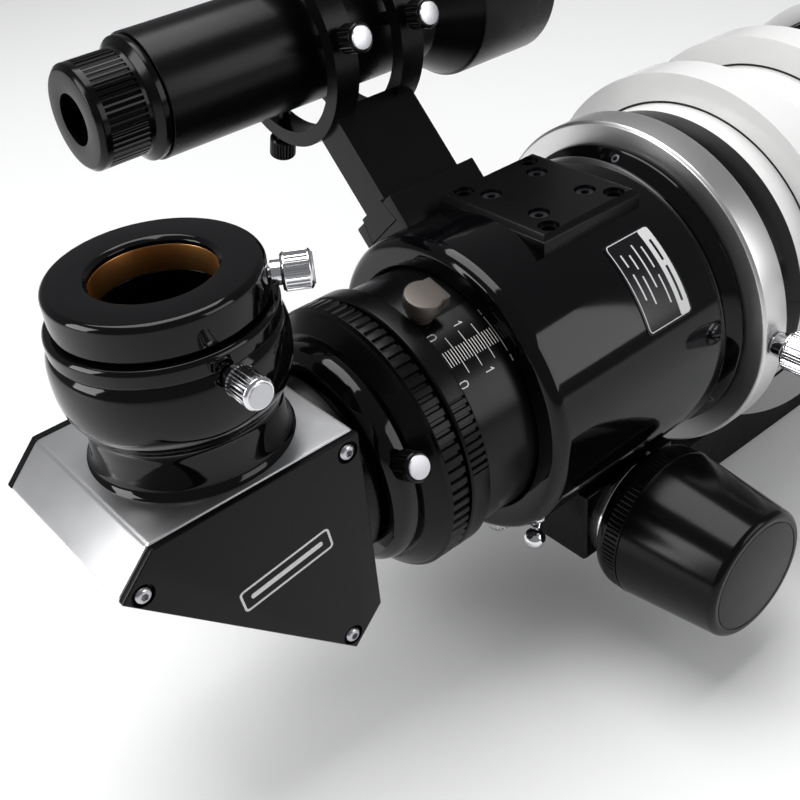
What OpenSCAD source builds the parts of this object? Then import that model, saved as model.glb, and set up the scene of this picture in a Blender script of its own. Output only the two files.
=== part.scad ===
// Refractor telescope with a geared focuser, a mirror diagonal and a finder.
// Units are millimetres. The optical axis runs along X and the sky end is +X.
// The origin is the centre of the dovetail bar's bottom face.
// Stations called *_x are measured along the optical axis from the eyepiece axis.

/* [Mount] */
// Height of the optical axis above the bar's bottom face
axis_h = 89.5; // [80:0.5:110]
// Distance from the eyepiece axis to the middle of the bar
setback = 272; // [250:1:300]
// Width of the bar's bottom face
bar_w = 44; // [40:0.5:50]
// Thickness of the bar
bar_t = 15; // [12:0.5:18]
// Length of the bar
bar_l = 200; // [160:1:260]
// Width of each mounting ring along the tube
ring_w = 14; // [10:1:20]
// Station of the rear mounting ring
rear_ring_x = 212; // [208:1:220]
// Station of the front mounting ring
front_ring_x = 256; // [245:1:262]

/* [Tube] */
// Outer diameter of the main tube
tube_d = 110.8; // [100:0.2:120]
// Wall of the main tube
tube_wall = 2; // [1.5:0.1:3]
// Outer diameter of the silver rotation collar
collar_ring_d = 120; // [114:0.5:130]
// Station of the collar's rear face
collar_ring_x = 171; // [168:0.5:175]
// Width of the collar along the tube
collar_ring_w = 12; // [9:0.5:14]
// Width of the black rear cell band
band_w = 14; // [10:0.5:18]
// Station of the tube's front end
tube_end_x = 302; // [290:1:320]
// Clear aperture of the objective
aperture = 80; // [70:1:90]
// Outer diameter of the dew shield
shield_d = 129; // [126:0.5:136]
// Length of the dew shield
shield_l = 95; // [70:1:110]

/* [Focuser] */
// Outer diameter of the focuser barrel
barrel_d = 102.2; // [99:0.2:106]
// Station of the barrel's rear mouth
mouth_x = 87; // [84:0.5:90]
// Station of the barrel's front end
barrel_end_x = 165.5; // [160:0.5:168]
// Outer diameter of the drawtube
draw_d = 82.4; // [78:0.2:84]
// Clear bore of the drawtube
draw_bore = 76; // [70:0.5:78]
// Outer diameter of the knurled rings behind the barrel
knurl_d = 86.6; // [82:0.2:92]
// Station of the focuser shaft
pinion_x = 129.5; // [126:0.5:132]
// Teeth on the pinion
pinion_teeth = 12; // [10:1:16]
// Tooth module of the rack and pinion
gear_m = 1; // [0.8:0.1:1.1]
// Largest diameter of the focus knobs
focus_knob_d = 51.6; // [40:0.2:56]
// Length of the near focus knob
focus_knob_l = 45.2; // [35:0.2:55]
// Width of the pinion housing across the telescope
block_w = 87.6; // [84:0.2:92]
// Length of the pinion housing along the tube
block_l = 41.4; // [36:0.2:44]

/* [Accessory plate] */
// Length of the plate along the tube
plate_l = 41.8; // [38:0.2:46]
// Width of the plate
plate_w = 45.4; // [40:0.2:48]
// Thickness of the plate
plate_t = 7; // [5:0.5:9]
// Spacing of the outer holes along the tube
plate_hole_l = 28.6; // [24:0.2:31]
// Spacing of the outer holes across the tube
plate_hole_w = 36.2; // [30:0.2:37]

/* [Diagonal] */
// Diameter of the eyepiece barrel the socket takes
eyepiece_d = 31.75; // [31.75:0.01:31.9]
// Diameter of the diagonal's nose and of the eyepiece adapter's barrel
nose_d = 50.8; // [50.7:0.01:50.9]
// Height of the adapter's top face above the optical axis
adapter_top = 81.8; // [78:0.2:90]
// Diameter of the eyepiece adapter's flange
adapter_d = 55.2; // [54:0.2:58]
// Largest diameter of the diagonal's eyepiece holder
holder_d = 61.6; // [60:0.2:66]
// Distance from the axes to the housing's top and front faces
housing_half = 31.3; // [30:0.1:34]
// Width of the housing between its side plates
housing_w = 59.8; // [56:0.2:64]
// Thickness of the side plates
side_t = 2.3; // [1.5:0.1:3]

/* [Finder] */
// Lean of the finder from the vertical, about the optical axis
finder_a = 44; // [42:1:52]
// Distance of the finder's axis from the optical axis
finder_r = 124; // [115:1:135]
// Station of the middle of the finder shoe
shoe_x = 117; // [112:1:124]
// Outer diameter of the finder's body tube
finder_d = 40; // [36:0.5:44]
// Outer diameter of the finder's objective cell
finder_cell_d = 58; // [54:0.5:62]

/* [Hidden] */
slide_gap = 0.4;
turn_gap = 0.35;
tiny = 0.01;
draw_r = draw_d / 2;
barrel_r = barrel_d / 2;
bore_r = draw_r + slide_gap;
knurl_r = knurl_d / 2;
tube_r = tube_d / 2;
tube_in_r = tube_r - tube_wall;
collar_r = collar_ring_d / 2;
collar_end_x = collar_ring_x + collar_ring_w;
band_end_x = collar_end_x + band_w;
nose_r = nose_d / 2;
socket_r = eyepiece_d / 2 + 0.05;
nose_bore_r = nose_r + turn_gap;
// focuser front ring
spigot_r = 50;
front_ring_r = spigot_r + 2.4;
front_ring_w = 4.5;
// ring and adapter stations behind the barrel
band_rear_x = 38.9;
angle_ring_x = 46.6;
angle_knurl_x = 51.9;
angle_end_x = 58.6;
lock_ring_x = 59.6;
lock_ring_end_x = 67;
draw_x = 67.4;
draw_end_x = 198;
spigot_draw_r = draw_r - 1.4;
// rack and pinion
pitch_r = pinion_teeth * gear_m / 2;
pitch = PI * gear_m;
rack_pitch_z = -(draw_r + 0.8);
pinion_z = rack_pitch_z - pitch_r;
shaft_r = 3;
rack_w = 7;
rack_x = 116;
rack_teeth = 26;
tooth_up = gear_m * 0.9;
tooth_down = gear_m * 1.15;
block_bottom = pinion_z - 10.6;
block_x = pinion_x - 23;
block_top = -31.5;
washer_t = 2.6;
washer_r = 20;
knob_gap = 0.6;
knob_y = block_w / 2 + washer_t + knob_gap;
knob_end_y = knob_y + focus_knob_l;
knob_seam_y = knob_y + 11.4;
far_knob_l = 30;
far_end_y = knob_y + far_knob_l;
fine_l = 17;
fine_r = 14;
// plate
plate_top = 52;
plate_x = 131.7;
plate_chamfer = 1.6;
plate_hole_r = 2.1;
plate_inner_l = 20.2;
plate_inner_w = 20.4;
// diagonal profile
cut_in = 10.7;
wall = 3;
holder_neck_r = 26;
holder_top = adapter_top - 10.6;
adapter_step = 0.4;
// shoe and finder
shoe_l = 36;
shoe_w = 27;
shoe_seat = barrel_r - 2.2;
shoe_top = barrel_r + 10;
foot_top_w = 15;
foot_base_w = 19;
ring_half = 16;
finder_ring_w = 9;
finder_ring_r = 33;
finder_ring_bore = 28;
finder_r_body = finder_d / 2;

// ---------- shared placements ----------

// local +Z runs along the optical axis to the sky, starting at a station
module on_axis(x) {
  translate([x - setback, 0, axis_h]) rotate([0, 90, 0]) children();
}

// a point given by its station and its offsets from the optical axis
module spot(x, y, z) {
  translate([x - setback, y, axis_h + z]) children();
}

// local +Z points outwards from the optical axis, leaning a degrees to +Y
module outward(x, a) {
  translate([x - setback, 0, axis_h]) rotate([-a, 0, 0]) children();
}

// a body turned about the optical axis from [radius, station] points
module turned(points) {
  on_axis(0) rotate_extrude($fn = 96) polygon(points);
}

// a plain ring about the optical axis
module axis_ring(x, l, outer, inner) {
  turned([[inner, x], [outer, x], [outer, x + l], [inner, x + l]]);
}

// a round hole or rod along local Z between two heights
module rod(r, z0, z1) {
  translate([0, 0, z0]) cylinder(r = r, h = z1 - z0, $fn = 48);
}

// a wedge about the optical axis between two lean angles
module sector(x, l, a0, a1) {
  reach = 2 * barrel_r;
  spot(x, 0, 0) rotate([90, 0, 90]) linear_extrude(l)
    polygon([[0, 0], [reach * sin(a0), reach * cos(a0)], [reach * sin(a1), reach * cos(a1)]]);
}

// thumbscrew along local Z: shank, shoulder and round head
module thumb_screw(shank_r, tip, seat, shoulder_r, shoulder_l, head_r, head_l) {
  neck = seat + shoulder_l;
  edge = 0.8;
  rod(shank_r, tip, seat + tiny);
  rod(shoulder_r, seat, neck + tiny);
  rod(head_r, neck, neck + head_l - edge);
  translate([0, 0, neck + head_l - edge]) cylinder(r1 = head_r, r2 = head_r - edge, h = edge, $fn = 48);
}

// ---------- bar and mounting rings ----------

bar_bevel = 4;
bolt_r = 3;
bolt_gap = 0.15;
bolt_head_r = 5;
bolt_head_h = 6;
bolt_y = 9;
foot_w = 36;
liner_t = 0.8;
liner_r = tube_r + liner_t;
ring_r = liner_r + 9.8;
half_gap = 0.3;
lug_t = 8;
lug_w = 18;
clamp_y = ring_r + 8;
hinge_y = ring_r + 4;
knuckle_r = 5;
knuckle_w = 6;
pin_r = 2.5;
clamp_bolt_r = 2.6;
clamp_head_r = 7.5;

module ring_stations() {
  for (x = [rear_ring_x, front_ring_x]) translate([x - setback, 0, 0]) children();
}

module dovetail_bar() color("#1c1c1e") difference() {
  translate([-bar_l / 2, 0, 0]) rotate([90, 0, 90]) linear_extrude(bar_l)
    polygon([[-bar_w / 2, 0], [bar_w / 2, 0], [bar_w / 2 - bar_bevel, bar_t],
      [-bar_w / 2 + bar_bevel, bar_t]]);
  ring_stations() for (s = [-1, 1]) translate([0, s * bolt_y, 0]) {
    rod(bolt_r + bolt_gap, -1, bar_t + 1);
    rod(bolt_head_r + 0.5, -1, bolt_head_h + 1);
  }
}

module ring_bolts() color("#3a3a3c") ring_stations() for (s = [-1, 1]) translate([0, s * bolt_y, 0]) {
  rod(bolt_r, bolt_head_h, bar_t + 9);
  difference() {
    rod(bolt_head_r, 1, bolt_head_h + 1);
    translate([0, 0, 0.9]) cylinder(r = 2.6, h = 3.2, $fn = 6);
  }
}

module half_band(x, upper) {
  reach = 2 * ring_r;
  intersection() {
    axis_ring(x - ring_w / 2, ring_w, ring_r, liner_r);
    spot(x - ring_w, -reach, upper ? half_gap : -reach) cube([2 * ring_w, 2 * reach, reach - half_gap]);
  }
}

module clamp_lug(x, upper) {
  spot(x - ring_w / 2, -clamp_y - 7, upper ? half_gap : -half_gap - lug_t) cube([ring_w, lug_w, lug_t]);
}

// hinge barrel across the far side; the lower half has the middle knuckle
module knuckle(x, x0, w, grow, upper) {
  spot(x + x0, hinge_y, 0) rotate([0, 90, 0]) cylinder(r = knuckle_r + grow, h = w, $fn = 48);
  if (grow == 0)
    spot(x + x0, hinge_y - 8, upper ? half_gap : -knuckle_r) cube([w, 8, knuckle_r - half_gap]);
}

module ring_lower(x) difference() {
  union() {
    half_band(x, false);
    spot(x - ring_w / 2, -foot_w / 2, bar_t - axis_h) cube([ring_w, foot_w, axis_h - bar_t - liner_r + 4]);
    clamp_lug(x, false);
    knuckle(x, -knuckle_w / 2, knuckle_w, 0, false);
  }
  on_axis(x - ring_w) cylinder(r = liner_r, h = 2 * ring_w, $fn = 96);
  for (s = [-1, 1]) knuckle(x, s > 0 ? knuckle_w / 2 : -ring_w / 2 - 1,
    ring_w / 2 + 1 - knuckle_w / 2, 0.4, false);
  hinge_hole(x);
  spot(x, -clamp_y, 0) rod(clamp_bolt_r + slide_gap, -lug_t - 2, 2);
  translate([x - setback, 0, 0]) for (s = [-1, 1]) translate([0, s * bolt_y, 0])
    rod(bolt_r + bolt_gap, bar_t - 1, bar_t + 10);
}

module hinge_hole(x) {
  spot(x - ring_w, hinge_y, 0) rotate([0, 90, 0]) cylinder(r = pin_r + 0.05, h = 2 * ring_w, $fn = 48);
}

module ring_upper(x) difference() {
  union() {
    half_band(x, true);
    clamp_lug(x, true);
    for (s = [-1, 1]) knuckle(x, s > 0 ? knuckle_w / 2 + 0.3 : -ring_w / 2,
      ring_w / 2 - knuckle_w / 2 - 0.3, 0, true);
  }
  on_axis(x - ring_w) cylinder(r = liner_r, h = 2 * ring_w, $fn = 96);
  knuckle(x, -knuckle_w / 2 - 0.3, knuckle_w + 0.6, 0.4, true);
  hinge_hole(x);
  spot(x, -clamp_y, 0) rod(clamp_bolt_r + slide_gap, -2, lug_t + 2);
}

module rear_ring_lower() color("#e9e9e6") ring_lower(rear_ring_x);
module rear_ring_upper() color("#e9e9e6") ring_upper(rear_ring_x);
module front_ring_lower() color("#e9e9e6") ring_lower(front_ring_x);
module front_ring_upper() color("#e9e9e6") ring_upper(front_ring_x);

module ring_hinge_pins() color("#b8b8bc") for (x = [rear_ring_x, front_ring_x])
  spot(x - ring_w / 2 - 0.5, hinge_y, 0) rotate([0, 90, 0]) cylinder(r = pin_r, h = ring_w + 1, $fn = 48);

module ring_liners() color("#2b2b2b") for (x = [rear_ring_x, front_ring_x])
  axis_ring(x - ring_w / 2, ring_w, liner_r, tube_r);

module clamp_knob(x) spot(x, -clamp_y, 0)
  thumb_screw(clamp_bolt_r, -lug_t + 1, lug_t + half_gap + 0.4, 4.4, 3, clamp_head_r, 12);

module rear_clamp_knob() color("#c9c9cd") clamp_knob(rear_ring_x);
module front_clamp_knob() color("#c9c9cd") clamp_knob(front_ring_x);

// ---------- tube, collar, objective ----------

cell_bore_r = aperture / 2 + 1.2;
lens_r = cell_bore_r - 0.15;
stop_r = aperture / 2 - 0.5;
cell_r = tube_r + 1.6;
guide_r = shield_d / 2 - 2.9;
shield_r = shield_d / 2;
shield_in_r = guide_r + slide_gap;
spigot_l = 10;
seat_x = tube_end_x + 4;
cell_end_x = seat_x + 25;
guide_x = cell_end_x - 10;
lens_R = 200;
front_edge_x = seat_x + 14;
front_edge_t = 3;
lens_sag = lens_R - sqrt(lens_R * lens_R - lens_r * lens_r);
retainer_r = cell_bore_r + 1.8;
shield_x = guide_x - 9;
shield_ring_l = 7;
rear_bore_r = 47;
light_slope = 0.065;

module main_tube() color("#eceded") axis_ring(band_end_x, tube_end_x - band_end_x, tube_r, tube_in_r);

module rear_cell() color("#141416") turned([
  [rear_bore_r, collar_end_x], [tube_r, collar_end_x], [tube_r, band_end_x],
  [tube_in_r, band_end_x], [tube_in_r, band_end_x + spigot_l], [rear_bore_r, band_end_x + spigot_l]
]);

module rotation_collar() color("#c6c7c9") difference() {
  edge = 0.9;
  inner = spigot_r + slide_gap;
  turned([
    [inner, collar_ring_x], [collar_r - edge, collar_ring_x], [collar_r, collar_ring_x + edge],
    [collar_r, collar_end_x - edge], [collar_r - edge, collar_end_x], [inner, collar_end_x]
  ]);
  outward(collar_ring_x + collar_ring_w / 2, -90) rod(3, inner - 2, collar_r + 2);
}

module rotation_lock_screw() color("#cfd0d3") outward(collar_ring_x + collar_ring_w / 2, -90)
  thumb_screw(2.6, spigot_r + 0.9, collar_r + 0.5, 4.2, 4.5, 6.6, 12);

module tube_baffles() color("#111112") for (x = [228, 268])
  axis_ring(x, 1.5, tube_in_r, aperture / 2 - light_slope * (seat_x - x) + 2.5);

module lens_cell() color("#19191b") turned([
  [cell_bore_r, tube_end_x - spigot_l], [tube_in_r, tube_end_x - spigot_l], [tube_in_r, tube_end_x],
  [cell_r, tube_end_x], [cell_r, guide_x], [guide_r, guide_x], [guide_r, cell_end_x],
  [retainer_r, cell_end_x], [retainer_r, front_edge_x + 4], [cell_bore_r, front_edge_x + 4],
  [cell_bore_r, seat_x], [stop_r, seat_x], [stop_r, seat_x - 3], [cell_bore_r, seat_x - 6]
]);

// depth of a lens face below its crown at a radius
function sag(r) = lens_R - sqrt(lens_R * lens_R - r * r);
lens_steps = 8;
function lens_step(i) = lens_r * i / lens_steps;

// both faces bulge; the rim is front_edge_t thick
module front_lens() color("#9fb4c8", 0.4) turned(concat(
  [for (i = [0 : lens_steps]) [lens_step(i), front_edge_x - lens_sag + sag(lens_step(i))]],
  [for (i = [0 : lens_steps]) [lens_step(lens_steps - i),
    front_edge_x + front_edge_t + lens_sag - sag(lens_step(lens_steps - i))]]
));

// hollow front face following the front lens, flat back
module rear_lens() color("#a9bccb", 0.4) turned(concat(
  [[0, seat_x + 0.1], [lens_r, seat_x + 0.1]],
  [for (i = [0 : lens_steps]) [lens_step(lens_steps - i),
    front_edge_x - 0.6 - lens_sag + sag(lens_step(lens_steps - i))]]
));

module lens_retainer() color("#1d1d1f")
  axis_ring(front_edge_x + front_edge_t + 1, cell_end_x - front_edge_x - front_edge_t - 2,
    retainer_r - 0.1, aperture / 2);

module dew_shield() color("#eceded") difference() {
  turned([
    [cell_r + slide_gap, shield_x], [shield_r, shield_x], [shield_r, shield_x + shield_l],
    [shield_in_r, shield_x + shield_l], [shield_in_r, shield_x + shield_ring_l],
    [cell_r + slide_gap, shield_x + shield_ring_l]
  ]);
  outward(shield_x + shield_ring_l / 2, -90) rod(2.4, cell_r - 2, shield_r + 2);
}

module shield_front_ring() color("#16161a") turned([
  [shield_r, shield_x + shield_l - 7], [shield_r + 1.4, shield_x + shield_l - 7],
  [shield_r + 1.4, shield_x + shield_l + 1.4], [shield_r + 0.6, shield_x + shield_l + 2.2],
  [shield_in_r - 1.5, shield_x + shield_l + 2.2], [shield_in_r - 1.5, shield_x + shield_l],
  [shield_r, shield_x + shield_l]
]);

module shield_lock_screw() color("#cfd0d3") outward(shield_x + shield_ring_l / 2, -90)
  thumb_screw(2, cell_r + 1, shield_r + 0.4, 3.2, 2.5, 4.6, 7);

// ---------- focuser ----------

plate_z = plate_top - plate_t;
mouth_edge = 0.8;
rear_round_r = 4.1;
rear_round_l = 4.7;
front_round_r = 2.8;
front_round_l = 4.5;
window_l = 17;
window_w = 19;
groove_w = rack_w + 1.6;
groove_z = rack_pitch_z - 2;
label_x = 129.4;
label_l = 20;
label_a0 = -33;
label_a1 = -67.5;
lever_x = 99.5;
lever_a = -146;
tension_x = 98;
tension_a = -167;
screw_hole_r = 2.2;
plate_screw_r = 1.9;

// [radius, station] outline with both ends rounded
function barrel_outline() = concat(
  [[bore_r, mouth_x + mouth_edge], [bore_r + mouth_edge, mouth_x]],
  [for (i = [0 : 6]) [barrel_r - rear_round_r * (1 - sin(15 * i)),
  mouth_x + rear_round_l * (1 - cos(15 * i))]],
  [for (i = [0 : 6]) [barrel_r - front_round_r * (1 - cos(15 * i)),
  barrel_end_x - front_round_l * (1 - sin(15 * i))]],
  [[bore_r, barrel_end_x]]
);

module focuser_barrel() color("#0e0e10") difference() {
  turned(barrel_outline());
  spot(plate_x - plate_l / 2, -plate_w / 2, plate_z) cube([plate_l, plate_w, plate_t]);
  spot(mouth_x - 2, -groove_w / 2, groove_z) cube([barrel_end_x - mouth_x + 4, groove_w, 8]);
  spot(pinion_x - window_l / 2, -window_w / 2, -barrel_r - 2) cube([window_l, window_w, 14]);
  spot(pinion_x, 0, pinion_z) rotate([90, 0, 0]) rod(shaft_r + 0.5, -barrel_r, barrel_r);
  plate_hole_spots(plate_inner_l, plate_inner_w) rod(plate_screw_r + 0.1, -1.8, 1);
  outward(lever_x, lever_a) rod(screw_hole_r + 0.3, bore_r - 2, barrel_r + 4);
  outward(tension_x, tension_a) rod(screw_hole_r + 0.3, bore_r - 2, barrel_r + 4);
}

module focuser_front_ring() color("#c3c4c6") turned([
  [bore_r + 2.8, barrel_end_x], [barrel_r - front_round_r - 0.2, barrel_end_x],
  [front_ring_r, barrel_end_x + front_ring_w - 0.8],
  [front_ring_r, barrel_end_x + front_ring_w], [spigot_r, barrel_end_x + front_ring_w + 0.2],
  [spigot_r, collar_end_x - 0.6], [bore_r + 2.8, collar_end_x - 0.6]
]);

// chamfered outline of the plate seen along one axis
module plate_outline(w) polygon([
  [-w / 2, 0], [w / 2, 0], [w / 2, plate_t - plate_chamfer], [w / 2 - plate_chamfer, plate_t],
  [-w / 2 + plate_chamfer, plate_t], [-w / 2, plate_t - plate_chamfer]
]);

module plate_hole_spots(l, w) for (sx = [-1, 1]) for (sy = [-1, 1])
  spot(plate_x + sx * l / 2, sy * w / 2, plate_z) children();

module accessory_plate() color("#131315") difference() {
  intersection() {
    spot(plate_x - plate_l / 2, 0, plate_z) rotate([90, 0, 90]) linear_extrude(plate_l)
      plate_outline(plate_w);
    spot(plate_x, plate_w / 2, plate_z) rotate([90, 0, 0]) linear_extrude(plate_w) plate_outline(plate_l);
  }
  plate_hole_spots(plate_hole_l, plate_hole_w) {
    rod(plate_hole_r, -1, plate_t + 1);
    rod(plate_hole_r + 1.2, plate_t - 1.2, plate_t + 1);
  }
  plate_hole_spots(plate_inner_l, plate_inner_w) {
    rod(plate_hole_r, -1, plate_t + 1);
    rod(3.4, plate_t - 3.4, plate_t + 1);
  }
}

module plate_screws() color("#2d2d30") plate_hole_spots(plate_inner_l, plate_inner_w) {
  rod(plate_screw_r, -1.4, plate_t - 3.3);
  difference() {
    rod(3.1, plate_t - 3.4, plate_t - 0.9);
    translate([0, 0, plate_t - 2.2]) cylinder(r = 1.5, h = 2, $fn = 6);
  }
}

module label_plate() color("#15151a") intersection() {
  axis_ring(label_x, label_l, barrel_r + 0.4, barrel_r);
  sector(label_x - 1, label_l + 2, label_a0, label_a1);
}

module pinion_housing() color("#121214") difference() {
  edge = 1.5;
  spot(block_x, 0, 0) rotate([90, 0, 90]) linear_extrude(block_l) polygon([
    [-block_w / 2, block_top], [-block_w / 2, block_bottom + edge], [-block_w / 2 + edge, block_bottom],
    [block_w / 2 - edge, block_bottom], [block_w / 2, block_bottom + edge], [block_w / 2, block_top]
  ]);
  on_axis(block_x - 1) cylinder(r = barrel_r, h = block_l + 2, $fn = 96);
  spot(pinion_x, 0, pinion_z) rotate([90, 0, 0]) {
    rod(shaft_r + 0.06, -block_w, block_w);
    rod(pitch_r + 2.2, -window_w / 2, window_w / 2);
  }
  spot(pinion_x - pitch_r - 2.2, -window_w / 2, pinion_z) cube([2 * pitch_r + 4.4, window_w, 20]);
}

// local +Z points to the near side, starting at the shaft's middle
module on_shaft() {
  spot(pinion_x, 0, pinion_z) rotate([90, 0, 0]) children();
}

module pinion_washers() color("#b9babd") on_shaft() for (s = [0, 1]) mirror([0, 0, s]) difference() {
  rod(washer_r, block_w / 2, block_w / 2 + washer_t);
  rod(shaft_r + 0.5, block_w / 2 - 1, block_w / 2 + washer_t + 1);
}

// one tooth and the gap beside it, as [angle, radius] from the tooth's middle
module gear_outline() {
  step = 360 / pinion_teeth;
  tip_a = 3;
  root_a = 12.2;
  polygon([for (i = [0 : pinion_teeth - 1]) for (p = [[-root_a, pitch_r - tooth_down],
    [-tip_a, pitch_r + tooth_up],
    [tip_a, pitch_r + tooth_up], [root_a, pitch_r - tooth_down]])
    [p[1] * sin(i * step + p[0]), p[1] * cos(i * step + p[0])]]);
}

fine_stub_r = 1.8;
shaft_near = knob_y + 30;
shaft_far = far_end_y - 1;

module pinion_shaft() color("#a8a9ad") on_shaft() difference() {
  union() {
    rod(shaft_r, -shaft_far, shaft_near);
    translate([0, 0, -7.5]) linear_extrude(15) gear_outline();
  }
  rod(fine_stub_r + 0.06, -shaft_far - 1, -shaft_far + 12);
}

// a knob turned about the shaft from [radius, distance] points
module shaft_turned(points) {
  rotate_extrude($fn = 96) polygon(points);
}

module near_focus_knob() color("#0c0c0e") on_shaft() {
  big = focus_knob_d / 2;
  shaft_turned([
    [shaft_r + 0.02, knob_y], [big - 5, knob_y], [big - 4.4, knob_y + 0.6], [big - 2.6, knob_y + 1.3],
    [big - 0.9, knob_y + 3], [big - 0.1, knob_y + 5], [big, knob_seam_y - 0.5], [big - 0.6, knob_seam_y],
    [big - 0.5, knob_seam_y + 0.6], [big - 3.8, knob_end_y - 1.8], [big - 4.6, knob_end_y - 0.6],
    [big - 5.6, knob_end_y],
    [0, knob_end_y], [0, shaft_near + 0.1], [shaft_r + 0.02, shaft_near + 0.1]
  ]);
}

module far_focus_knob() color("#0c0c0e") on_shaft() mirror([0, 0, 1]) {
  big = focus_knob_d / 2 - 1;
  shaft_turned([
    [shaft_r + 0.02, knob_y], [big - 4.6, knob_y], [big - 2, knob_y + 1.4], [big - 0.4, knob_y + 4],
    [big, knob_y + 10],
    [big - 1.4, far_end_y - 2], [big - 3.4, far_end_y], [shaft_r + 0.02, far_end_y]
  ]);
}

module fine_focus_knob() color("#19191c") on_shaft() mirror([0, 0, 1]) {
  rod(fine_stub_r, shaft_far - 11, far_end_y + 0.7);
  shaft_turned([
    [0, far_end_y + 0.6], [fine_r - 1, far_end_y + 0.6], [fine_r, far_end_y + 1.6],
    [fine_r - 0.8, far_end_y + fine_l - 1.2], [fine_r - 2, far_end_y + fine_l], [0, far_end_y + fine_l]
  ]);
}

// ball-ended handle that locks the drawtube
ball_r = 3.6;
ball_out = 6.4;
ball_back = 5;
handle_r = 1.5;
handle_z = 1.6;
handle_l = sqrt(ball_back * ball_back + (ball_out - handle_z) * (ball_out - handle_z));

module lock_lever() color("#d6d7da") outward(lever_x, lever_a) {
  rod(screw_hole_r, bore_r + 0.6, barrel_r + 1);
  rod(3.6, barrel_r + 0.5, barrel_r + 2.8);
  translate([0, 0, barrel_r + handle_z]) rotate([0, -atan2(ball_back, ball_out - handle_z), 0])
    rotate_extrude($fn = 48) polygon(concat(
      [[0, 0], [handle_r, 0]],
      [for (i = [0 : 9]) [ball_r * cos(17 * i - 63), handle_l + ball_r * sin(17 * i - 63)]],
      [[0, handle_l + ball_r]]
    ));
}

module tension_screw() color("#9d9ea1") outward(tension_x, tension_a)
  thumb_screw(screw_hole_r, bore_r + 0.6, barrel_r + 0.5, 2.8, 1.2, 4.2, 5.2);

// ---------- finder shoe ----------

channel_z = barrel_r + 2.4;
channel_base = foot_base_w + 2 * slide_gap;
channel_top = foot_top_w + 2 * slide_gap;
foot_z = channel_z + slide_gap;
foot_up = shoe_top + 1;
shoe_stop = 3;

// dovetail outline, wide side down, between two heights
module dovetail(w0, w1, z0, z1) polygon([[-w0 / 2, z0], [w0 / 2, z0], [w1 / 2, z1], [-w1 / 2, z1]]);

module finder_shoe() color("#121214") difference() {
  outward(shoe_x, finder_a) translate([-shoe_l / 2, -shoe_w / 2, shoe_seat])
    cube([shoe_l, shoe_w, shoe_top - shoe_seat]);
  on_axis(shoe_x - shoe_l) cylinder(r = barrel_r, h = 2 * shoe_l, $fn = 96);
  outward(shoe_x, finder_a) {
    translate([-shoe_l / 2 - 1, 0, 0]) rotate([90, 0, 90]) linear_extrude(shoe_l + 1 - shoe_stop)
      dovetail(channel_base, channel_top, channel_z, shoe_top + tiny);
    translate([0, 0, (channel_z + shoe_top) / 2]) rotate([-90, 0, 0]) rod(2.3, 0, shoe_w);
  }
}

module shoe_lock_screw() color("#bfc0c4") outward(shoe_x, finder_a)
  translate([0, 0, (channel_z + shoe_top) / 2]) rotate([-90, 0, 0])
    thumb_screw(1.9, foot_base_w / 2 + 0.5, shoe_w / 2 + 0.4, 3, 2, 4.6, 9);

// ---------- drawtube ----------

knob_x = 71.2;
knob_a = -17;
knob_disc_r = 5.8;

module drawtube() color("#101013") difference() {
  turned([
    [draw_bore / 2, lock_ring_x], [spigot_draw_r, lock_ring_x], [spigot_draw_r, draw_x], [draw_r, draw_x],
    [draw_r, draw_end_x], [draw_bore / 2, draw_end_x]
  ]);
  spot(rack_x, -rack_w / 2, -draw_r - 1) cube([draw_end_x - rack_x + 1, rack_w, 2.4]);
  outward(knob_x, knob_a) rod(2.3, draw_bore / 2 - 2, draw_r + 2);
}

rack_root_z = rack_pitch_z + tooth_down;

// teeth hang down; a gap between two teeth faces the pinion's shaft
module rack() color("#8d8e92") {
  half = pitch * 0.215;
  lean = tan(20);
  tip = half - tooth_up * lean;
  root = half + tooth_down * lean;
  first = pinion_x - pitch / 2 - 4 * pitch;
  spot(0, rack_w / 2, 0) rotate([90, 0, 0]) linear_extrude(rack_w) union() {
    translate([rack_x, rack_root_z - tiny])
      square([draw_end_x - rack_x, -draw_r + 1.4 - rack_root_z + tiny]);
    for (i = [1 : rack_teeth - 2]) translate([first + i * pitch, 0]) polygon([
      [-root, rack_root_z], [-tip, rack_pitch_z - tooth_up], [tip, rack_pitch_z - tooth_up],
      [root, rack_root_z]
    ]);
  }
}

module drawtube_knob() color("#3b3a38") outward(knob_x, knob_a) {
  rod(1.9, draw_bore / 2 + 0.6, draw_r + 2);
  rod(3.4, draw_r + 0.4, draw_r + 4);
  rod(knob_disc_r - 0.7, draw_r + 4, draw_r + 5);
  rod(knob_disc_r, draw_r + 4.8, draw_r + 9.2);
}

module lock_ring() color("#0f0f11") {
  edge = 0.7;
  turned([
    [spigot_draw_r + slide_gap, lock_ring_x], [knurl_r - edge, lock_ring_x], [knurl_r, lock_ring_x + edge],
    [knurl_r, lock_ring_end_x - edge], [knurl_r - edge, lock_ring_end_x],
    [spigot_draw_r + slide_gap, lock_ring_end_x]
  ]);
}

// ---------- angle ring and nose clamp ----------

skirt_r = draw_bore / 2 - slide_gap;
skirt_end_x = 72;
clamp_r = 35.9;
clamp_rear_r = 33.6;
clamp_screw_x = 42.7;
clamp_screw_a = -66.5;

module angle_ring() color("#0f0f11") turned([
  [nose_bore_r, angle_ring_x], [clamp_r + 1.4, angle_ring_x], [knurl_r - 1.6, angle_knurl_x - 1.2],
  [knurl_r - 0.9, angle_knurl_x], [knurl_r, angle_knurl_x + 0.5], [knurl_r, angle_end_x - 0.5],
  [knurl_r - 0.6, angle_end_x], [skirt_r, angle_end_x], [skirt_r, skirt_end_x], [skirt_r - 2, skirt_end_x],
  [skirt_r - 2, angle_end_x + 1.4], [nose_bore_r, angle_end_x + 1.4]
]);

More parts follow.
